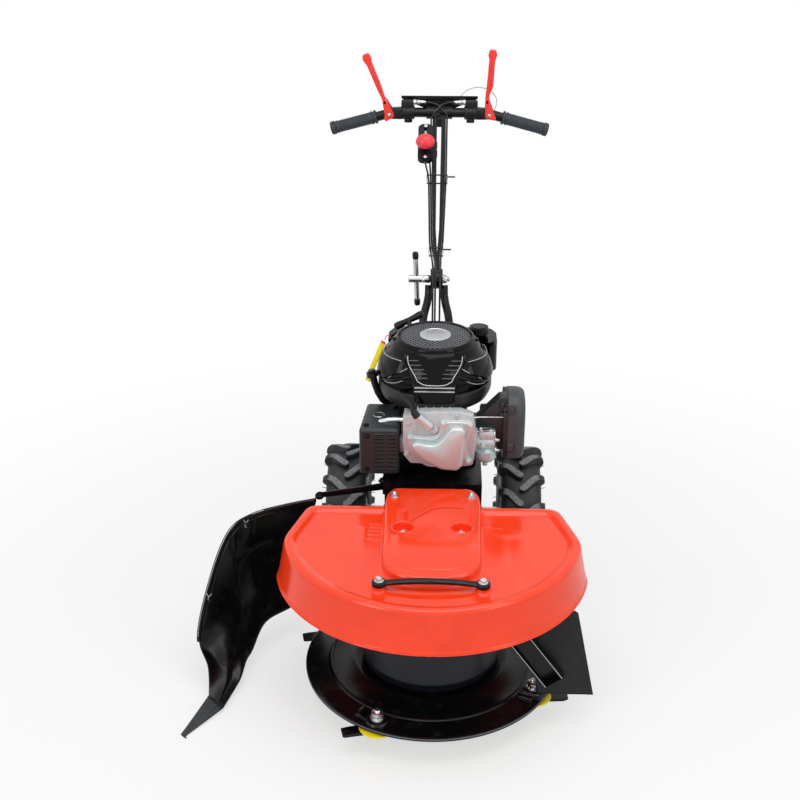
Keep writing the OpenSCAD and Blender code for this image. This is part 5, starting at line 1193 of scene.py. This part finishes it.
# rubber flap with the steel channel that carries it
FLAP = [(214, 2), (329, 0), (291, 181), (284, 186), (196, 186)]
lean = math.radians(7.4)
flap = bmesh.new()
flap_plane = shift(0, -127.2 - 25 * math.tan(lean), 78) \
    @ Matrix.Rotation(math.radians(90) - lean, 4, "X")
body = pressed([Vector((x, y, 0)) for x, y in FLAP], 8, lambda x, y: -5 - 2.6 * soft(60, 0, y)
               * soft(250, 330, x) + 0.9 * noise.noise((x / 40, y / 40, 2.0)))
join(flap, body, flap_plane)
piece("flap_sheet", flap, "chassis", "black_rubber", flap_rubber, "rubber_flap", sheet=-4.6)
channel = bmesh.new()
section = [(-21, 9), (21, 9), (21, -9), (18, -9), (18, 4.4), (16.4, 6), (-16.4, 6), (-18, 4.4),
           (-18, -9), (-21, -9)]
top, foot = Vector((92, -136, 334)), Vector((248, -136, 116))
run = (foot - top).normalized()
side = Vector((0, 1, 0)).cross(run)
rings = []
for share in (0.0, 0.25, 0.5, 0.75, 1.0):
    p = top.lerp(foot, share)
    flare = 1 + 0.12 * soft(0.8, 1, share)
    rings.append([p + side * x * flare + Vector((0, y, 0)) for x, y in section])
join(channel, eased(skin(rings), 0.9, 2, 40))
join(channel, block((-19, -8, -1), (20, 8.4, 4), 1.2), aim(foot - 1.5 * run, run, side))
piece("flap_channel", channel, "chassis", "black_paint", black_enamel, "flap_arm", sharp=40)
# painted highlights: bright lines along the channel's two front edges
bright = bmesh.new()
for x in (-19.5, 19.5):
    edge = side * x + Vector((0, -9.1, 0))
    join(bright, round_bar([top.lerp(foot, s) + edge for s in (0.1, 0.5, 0.99)], 0.8, 6, smooth=False))
piece("channel_painted_highlights", bright, "chassis", "black_paint", pale_grey_painted_highlight)

# ---- Drum, cutter disc and knives ----------------------------------------------------
KNIFE_R = 233                                 # circle of the knife bolts
STATIONS = [spun(degrees, "Z") for degrees in (-26, 64, 154, 244)]
DRUM = [(60, 289.8), (130, 289.8), (136, 287.5), (139.8, 283), (141, 278), (141, 268),
        (141.9, 266.5), (141.9, 263.5), (141, 262), (141, 106), (141.9, 104.4), (141.9, 99.6),
        (141, 98), (141, 92), (139.6, 86), (136, 81.4), (131, 79.3), (117, 79.2),
        (117, 82.2), (130, 82.4), (135, 86), (137.8, 92), (137.8, 278), (130, 287),
        (60, 287), (60, 289.8)]
piece("drum_shell", turned(DRUM, 112), "drum", "black_paint", drum_enamel, "drum", sharp=30)
PLATE = [(72, 76), (148, 76), (152, 76.4), (156, 77.6), (160, 77.4), (164, 76), (203, 71.6), (206, 72.2),
         (209, 73.4), (212, 72.6), (215, 69.8), (252, 65.0), (256, 64.6), (259.4, 63.6), (261.4, 62.2),
         (262.5, 61.4), (262.5, 64.2), (261.6, 66), (258, 68), (252, 68.6), (216, 73), (213, 75.6),
         (209, 76.6), (205, 75.4), (203, 74.8), (164, 79.2), (160, 80.6), (156, 80.8), (150, 79.4),
         (72, 79), (72, 76)]
cutter = turned(PLATE, 144)
# under each bolt a pressed pad, with a ramp and a block beside it
pad = bmesh.new()
join(pad, turned([(0, 73.4), (17, 73.4), (20.5, 72.4), (23.5, 69), (25, 66)], 40),
     shift(KNIFE_R, 0, 0))
ramp_side = [(0, 0), (3, 10), (6, 11.4), (14, 11.4), (27, 6), (31, 0)]
join(pad, plate(ramp_side, 30, 1.6, 3), shift(218, -46, 68) @ UPRIGHT @ spun(90, "Y"))
join(pad, block((176, -33, 70), (206, -28, 75.6), 2))
join(cutter, pad, *STATIONS)
piece("cutter_plate", cutter, "drum", "black_paint", black_enamel, "cutter_disc", sharp=32)
# a grey ring round the disc's edge as a painted highlight
rim_line = turned([(261.5, 66.5), (262.8, 65.9), (263, 64.8), (262, 64.6)], 144)
piece("cutter_plate_rim_highlight", rim_line, "drum", "black_paint", rim_highlight_enamel)
nuts = bmesh.new()
seats = [station @ shift(KNIFE_R, 0, 73.2) for station in STATIONS]
join(nuts, hex_head(11.4, 11.5, 14, 8, 5.6), *seats)
join(nuts, turned([(11, 0), (11.4, 1.4), (9.5, 2.6), (6, 2.8)], 24),
     *[seat @ shift(0, 0, 13) for seat in seats])
# yellow plate under the disc, with a lobe for each knife
CARRIER_Z = 52.8
carrier, lobe = bmesh.new(), bmesh.new()
join(lobe, disc(37, 4, 1, 48), shift(KNIFE_R + 1, 0, CARRIER_Z))
join(lobe, plate([(150, -88), (240, -33), (240, 33), (150, 88)], 4, 0.8), shift(0, 0, CARRIER_Z))
join(carrier, lobe, *STATIONS)
join(carrier, turned([(40, 0), (228, 0), (228.6, 0.8), (228.6, 3.2), (228, 4), (40, 4), (40, 0)], 96),
     shift(0, 0, CARRIER_Z))
piece("knife_star", carrier, "drum", "yellow_paint", yellow_enamel, "knife_carrier", sharp=34)
piece("knife_nuts", nuts, "drum", "zinc_steel", zinc_plate)

# ---- Handlebar -----------------------------------------------------------------------
PIVOT = Vector((0, 660, 676))
COLUMN = Matrix.Translation(PIVOT) @ spun(30.2, "X")
BAR_Y, BAR_Z = 1149.6, 961.0                  # crossbar
DROP = math.radians(15)                       # its ends' fall
PIN = Vector((130, BAR_Y, BAR_Z - 2))         # right lever's pin


def bar_end(along):
    """Point on the right-hand end of the crossbar, measured from its bend."""
    return Vector((120 + along * math.cos(DROP), BAR_Y, BAR_Z - along * math.sin(DROP)))


# ribbed grips between two collars and an end cap: (radius, along)
grips = bmesh.new()
profile = [(12.6, 0), (17, 0), (18, 1), (18, 4.4), (17, 5.6), (14.8, 6.2), (14.8, 9.4), (16.8, 10),
           (17.4, 11), (17.4, 13), (16.4, 14.2), (15.4, 14.8)]
for k in range(17):
    profile += [(15.7, 18 + 5 * k), (15.7, 20.6 + 5 * k), (14.9, 21.4 + 5 * k), (14.9, 22.2 + 5 * k)]
profile += [(15.7, 104), (16.8, 105.4), (16.8, 108), (15.2, 109.2), (15.2, 111.4), (17, 112.6),
            (17.4, 114), (17.4, 121), (16.6, 123.2), (14, 124.8), (6, 125.3), (0, 125.3)]
grip = turned(profile, 40)
to_grip = aim(bar_end(46), (math.cos(DROP), 0, -math.sin(DROP)))
join(grips, grip, to_grip, MIRROR_X @ to_grip)
piece("hand_grips", grips, "handlebar", "grip_rubber", grip_rubber, "grips", sharp=34)

# lever brackets with their clamps, and the cable adjusters in them; the left ones are mirrored
brackets, barrels, half = bmesh.new(), bmesh.new(), bmesh.new()
join(half, turned([(13, 0), (16.6, 0), (17.6, 1.2), (17.6, 11), (16.4, 12), (16.4, 21), (17.6, 22),
                   (17.6, 31.8), (16.6, 33), (13, 33), (13, 0)], 40), aim((65, BAR_Y, BAR_Z), (1, 0, 0)))
join(half, block((71, BAR_Y - 8, BAR_Z - 26), (92, BAR_Y + 8, BAR_Z - 12), 3))
join(half, block((94, BAR_Y - 16.4, BAR_Z - 15), (102, BAR_Y + 16.4, BAR_Z + 12), 2.5))
for y in (-16.4, 13.1):
    join(half, plate(filleted([(96, -15, 5), (141, -14, 9), (141, 9, 9), (96, 12, 6)], 4), 3.2, 0.8),
         shift(0, BAR_Y + y + 3.2, BAR_Z) @ UPRIGHT)
join(half, block((67, BAR_Y - 9, BAR_Z + 8), (100, BAR_Y + 9, BAR_Z + 33), 5, 3))
join(half, hex_head(4.6, 4, 6.4), aim((82, BAR_Y - 8, BAR_Z - 19), (0, -1, 0)))
join(brackets, half, Matrix(), MIRROR_X)
piece("clutch_brackets", brackets, "handlebar", "black_paint", satin_abs, "lever_brackets", sharp=36)
barrel = turned([(0, -1), (6.2, -1), (6.8, 0), (6.8, 5), (5.2, 6)] + [
    (r, 7 + 1.1 * k + d) for k in range(5) for r, d in ((6.4, 0), (5.8, 0.6))] + [
    (6.2, 13), (6.2, 15), (4.6, 16), (4.6, 24), (3.6, 26), (3.2, 31), (0, 31)], 24)
to_barrel = aim((67, BAR_Y, BAR_Z + 27), (-1, 0, 0))
join(barrels, barrel, to_barrel, MIRROR_X @ to_barrel)
for y in (-1, 1):
    head = hex_head(5, 3, 0)
    to_head = aim(PIN + Vector((0, y * 20, 0)), (0, y, 0))
    join(barrels, head, to_head, MIRROR_X @ to_head)
piece("cable_adjusters", barrels, "handlebar", "zinc_steel", zinc_plate)


def clutch_lever(root):
    """Red lever in its own plane: two cheeks, the bridge between them and the paddle."""
    part = bmesh.new()
    cheek = [(-11, 2, 6), (-10, -10, 7), (4, -12, 4), (16, -14, 4), (18, -6, 4), (12, 4, 5),
             (root + 5, 38, 3), (root - 5, 38, 3)]
    for y in (-19.6, 16.6):
        join(part, plate(filleted(cheek, 4), 3, 0.9), shift(0, 0, y))
    join(part, block((root - 5, 27, -19.6), (root + 4.5, 40, 19.6), 2.4))
    blade = [(root - 5, 30, 2), (root - 5, 48, 8), (root / 2 - 7, 72, 20), (-8, 140, 12),
             (-11.5, 150, 5), (-8, 164, 5), (8, 164, 5), (11.5, 152, 5), (7, 136, 12), (6.4, 72, 20),
             (root + 5, 48, 8), (root + 5, 30, 2)]
    join(part, plate(filleted(blade, 4), 15, 4, 3), shift(0, 0, -7.5))
    rib = [(-3.4, 62, 3), (-4.4, 136, 4), (4.4, 136, 4), (3.4, 62, 3)]
    join(part, plate(filleted(rib, 4), 16.4, 0.8), shift(0, 0, -8.2))
    return part


right_swing = Matrix.Translation(PIN) @ spun(2, "Y") @ UPRIGHT
left_swing = MIRROR_X @ Matrix.Translation(PIN) @ spun(22.6, "Y") @ UPRIGHT
for name, root, swing in (("left_lever", 0, left_swing), ("right_lever", -7, right_swing)):
    lever = bmesh.new()
    join(lever, clutch_lever(root), swing)
    piece(name + "_moulding", lever, name, "red_plastic", red_nylon, name, sharp=40)

# clamp screw: bright hub and T bar with dipped tips
screw, tips = bmesh.new(), bmesh.new()
join(screw, turned([(0, 0), (7.4, 0), (9.2, 1.6), (9.5, 4), (9.5, 30), (8.8, 31.4), (8.8, 33), (9.5, 34),
                    (9.5, 50), (8, 52), (6, 52.8), (6, 90), (0, 90)], 36),
     aim(PIVOT + Vector((-67, 0, 0)), (1, 0, 0)))
join(screw, hex_head(10, 8, 12.5, 7, 6), aim(PIVOT + Vector((14.6, 0, 0)), (1, 0, 0)))
TILT = Vector((-0.042, 0, 1)).normalized()
middle = PIVOT + Vector((-48, 0, 0))
join(screw, turned([(0, -58), (5.8, -58), (5.8, 58), (0, 58)], 28), aim(middle, TILT))
piece("clamp_spindle", screw, "clamp_screw", "zinc_steel", zinc_plate, "clamp_screw")
cap = turned([(0, 50), (6.4, 50), (7.2, 51.5), (7.4, 62), (6.2, 65.6), (3, 67.4), (0, 67.8)], 28)
join(tips, cap, aim(middle, TILT), aim(middle, -TILT))
piece("clamp_bar_tips", tips, "clamp_screw", "black_plastic", satin_abs)

# throttle: bright guide in the slot, and the knob on its stem
THROTTLE_X, GUIDE_Y, LEVER_Y = -34, 430.5, 422.54     # in the column's own frame
guide = bmesh.new()
join(guide, plate(filleted([(-3.6, 2, 3), (3.6, 2, 3), (3.6, 44, 3), (-3.6, 44, 3)], 3), 1.4, 0.3),
     COLUMN @ shift(THROTTLE_X, GUIDE_Y, 24.6))
join(guide, hex_head(3.4, 2.4, 5), COLUMN @ shift(THROTTLE_X, GUIDE_Y + 54, 30),
     COLUMN @ shift(THROTTLE_X, GUIDE_Y - 56, 30))
piece("throttle_guide", guide, "handlebar", "zinc_steel", zinc_plate)
ball = [(24 * math.cos(math.radians(a)), 36 + 17 * math.sin(math.radians(a)))
        for a in range(-90, 91, 10)]
stem_r = 2.8
knob = turned([(0, 0), (stem_r, 0), (stem_r, 18)] + [(max(stem_r, r), z) for r, z in ball[1:-1]]
              + [(0, 53)], 44)
throttle = bmesh.new()
join(throttle, knob, COLUMN @ shift(THROTTLE_X, LEVER_Y, 22) @ spun(30, "X")
     @ Matrix.Diagonal((1, 0.82, 1, 1)))
join(throttle, round_bar([(-37, 0, 0), (-31, 0, 0)], 5, 20, smooth=False),
     COLUMN @ shift(0, LEVER_Y, 22))
piece("throttle_knob", throttle, "throttle_lever", "red_plastic", knob_pvc, "throttle_lever")

# thin pale wire in a loop beside the right lever
wire = round_bar([(56, 1168, 1001), (70, 1176, 1013), (94, 1178, 1021), (118, 1178, 1019),
                  (136, 1176, 1010), (148, 1172, 996), (149, 1164, 980), (143, 1152, 968)], 1.3, 8)
piece("switch_wire", wire, "handlebar", "zinc_steel", pale_grey_painted_highlight)

# cables from the pivot down through the engine plate
drop = bmesh.new()
for top_x, low_x, back in ((8, 6.5, 34), (-3, -0.5, 34), (-8.6, -7, 36)):
    join(drop, round_bar([(top_x, 660 - back, 655), (top_x, 618, 600), (top_x, 596, 540),
                          (top_x, 572, 480), ((top_x + low_x) / 2, 545, 420), (low_x, 530, 372),
                          (low_x, 530, 359)], 2.25, 10))
runs = piece("lower_cable_runs", drop, None, "black_rubber", sheath_pvc, "lower_cables")
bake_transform(runs)

# tag tied to the housing
tag_line = [Vector(p) for p in ((-114, 400, 622), (-121, 399, 606), (-131, 399, 580), (-142, 401, 552),
                                (-151, 404, 526))]
width = Vector((0.78, -0.5, -0.3)).normalized() * 6
tag = patch(lambda u, v: at(tag_line, u) + width * (2 * v - 1) + Vector((0, 3 * math.sin(5 * u), 0)),
            28, 4)
piece("hang_tag", tag, "chassis", "yellow_paint", yellow_enamel, sheet=0.7)
tab = bmesh.new()
join(tab, patch(lambda u, v: at(tag_line, 0.07 * u) + width * 0.9 * (2 * v - 1) + Vector((0, -1.2, 1)),
                6, 4))
join(tab, round_bar([(-112, 400, 625), (-108, 404, 634), (-101, 410, 632), (-98, 416, 622)], 0.9, 6))
piece("hang_tag_tie", tab, "chassis", "red_plastic", red_nylon, sheet=0.5)

# ---- Floor, backdrop, light ----------------------------------------------------------
floor_material, tree, out = blank("pale_studio_floor")
rays = node(tree, "ShaderNodeLightPath").outputs["Is Camera Ray"]
place = node(tree, "ShaderNodeTexCoord").outputs["Object"]
away = node(tree, "ShaderNodeVectorMath", {0: place}, operation="LENGTH").outputs["Value"]
fade = ramp(tree, away, 0.6, 1.9, 0.6, 1.0)
glow = node(tree, "ShaderNodeMath", {0: fade, 1: rays}, operation="MULTIPLY").outputs[0]
matt = node(tree, "ShaderNodeBsdfDiffuse", {"Color": linear("#F4F4F3")}).outputs[0]
lamp = node(tree, "ShaderNodeEmission", {"Color": linear("#FFFFFF"), "Strength": 1.0}).outputs[0]
tree.links.new(node(tree, "ShaderNodeMixShader", {0: glow, 1: matt, 2: lamp}).outputs[0],
               out.inputs["Surface"])
ground = bmesh.new()
bmesh.ops.create_grid(ground, x_segments=8, y_segments=8, size=6.0)
floor_mesh = bpy.data.meshes.new("floor")
ground.to_mesh(floor_mesh)
ground.free()
floor_mesh.materials.append(floor_material)
floor = bpy.data.objects.new("floor", floor_mesh)
bpy.context.scene.collection.objects.link(floor)

world = bpy.data.worlds.new("studio")
bpy.context.scene.world = world
world.use_nodes = True
tree = world.node_tree
tree.nodes.clear()
path = node(tree, "ShaderNodeLightPath")
seen = node(tree, "ShaderNodeMath", {0: path.outputs["Is Camera Ray"], 1: path.outputs["Is Glossy Ray"]},
            operation="MAXIMUM").outputs[0]
seen = node(tree, "ShaderNodeMath", {0: seen, 1: path.outputs["Is Transmission Ray"]},
            operation="MAXIMUM").outputs[0]
level = node(tree, "ShaderNodeMapRange", {"Value": seen, "To Min": 0.5, "To Max": 1.0}).outputs[0]
sky = node(tree, "ShaderNodeBackground", {"Color": linear("#FFFFFF"), "Strength": level})
node(tree, "ShaderNodeOutputWorld", {"Surface": sky.outputs[0]})


def softbox(name, place, target, width, height, watts):
    """Area light at place, facing target."""
    data = bpy.data.lights.new(name, "AREA")
    data.shape = "RECTANGLE"
    data.size, data.size_y, data.energy = width, height, watts
    lit = bpy.data.objects.new(name, data)
    lit.location = place
    lit.rotation_euler = (Vector(target) - Vector(place)).to_track_quat("-Z", "Y").to_euler()
    bpy.context.scene.collection.objects.link(lit)


softbox("overhead", (0.2, -0.3, 3.0), (0, 0.3, 0.4), 2.6, 2.2, 42)
softbox("front_left", (-2.4, -2.6, 2.0), (0, 0, 0.4), 1.4, 1.6, 26)
softbox("front_right", (2.6, -2.2, 1.8), (0, 0.2, 0.5), 1.2, 1.6, 16)
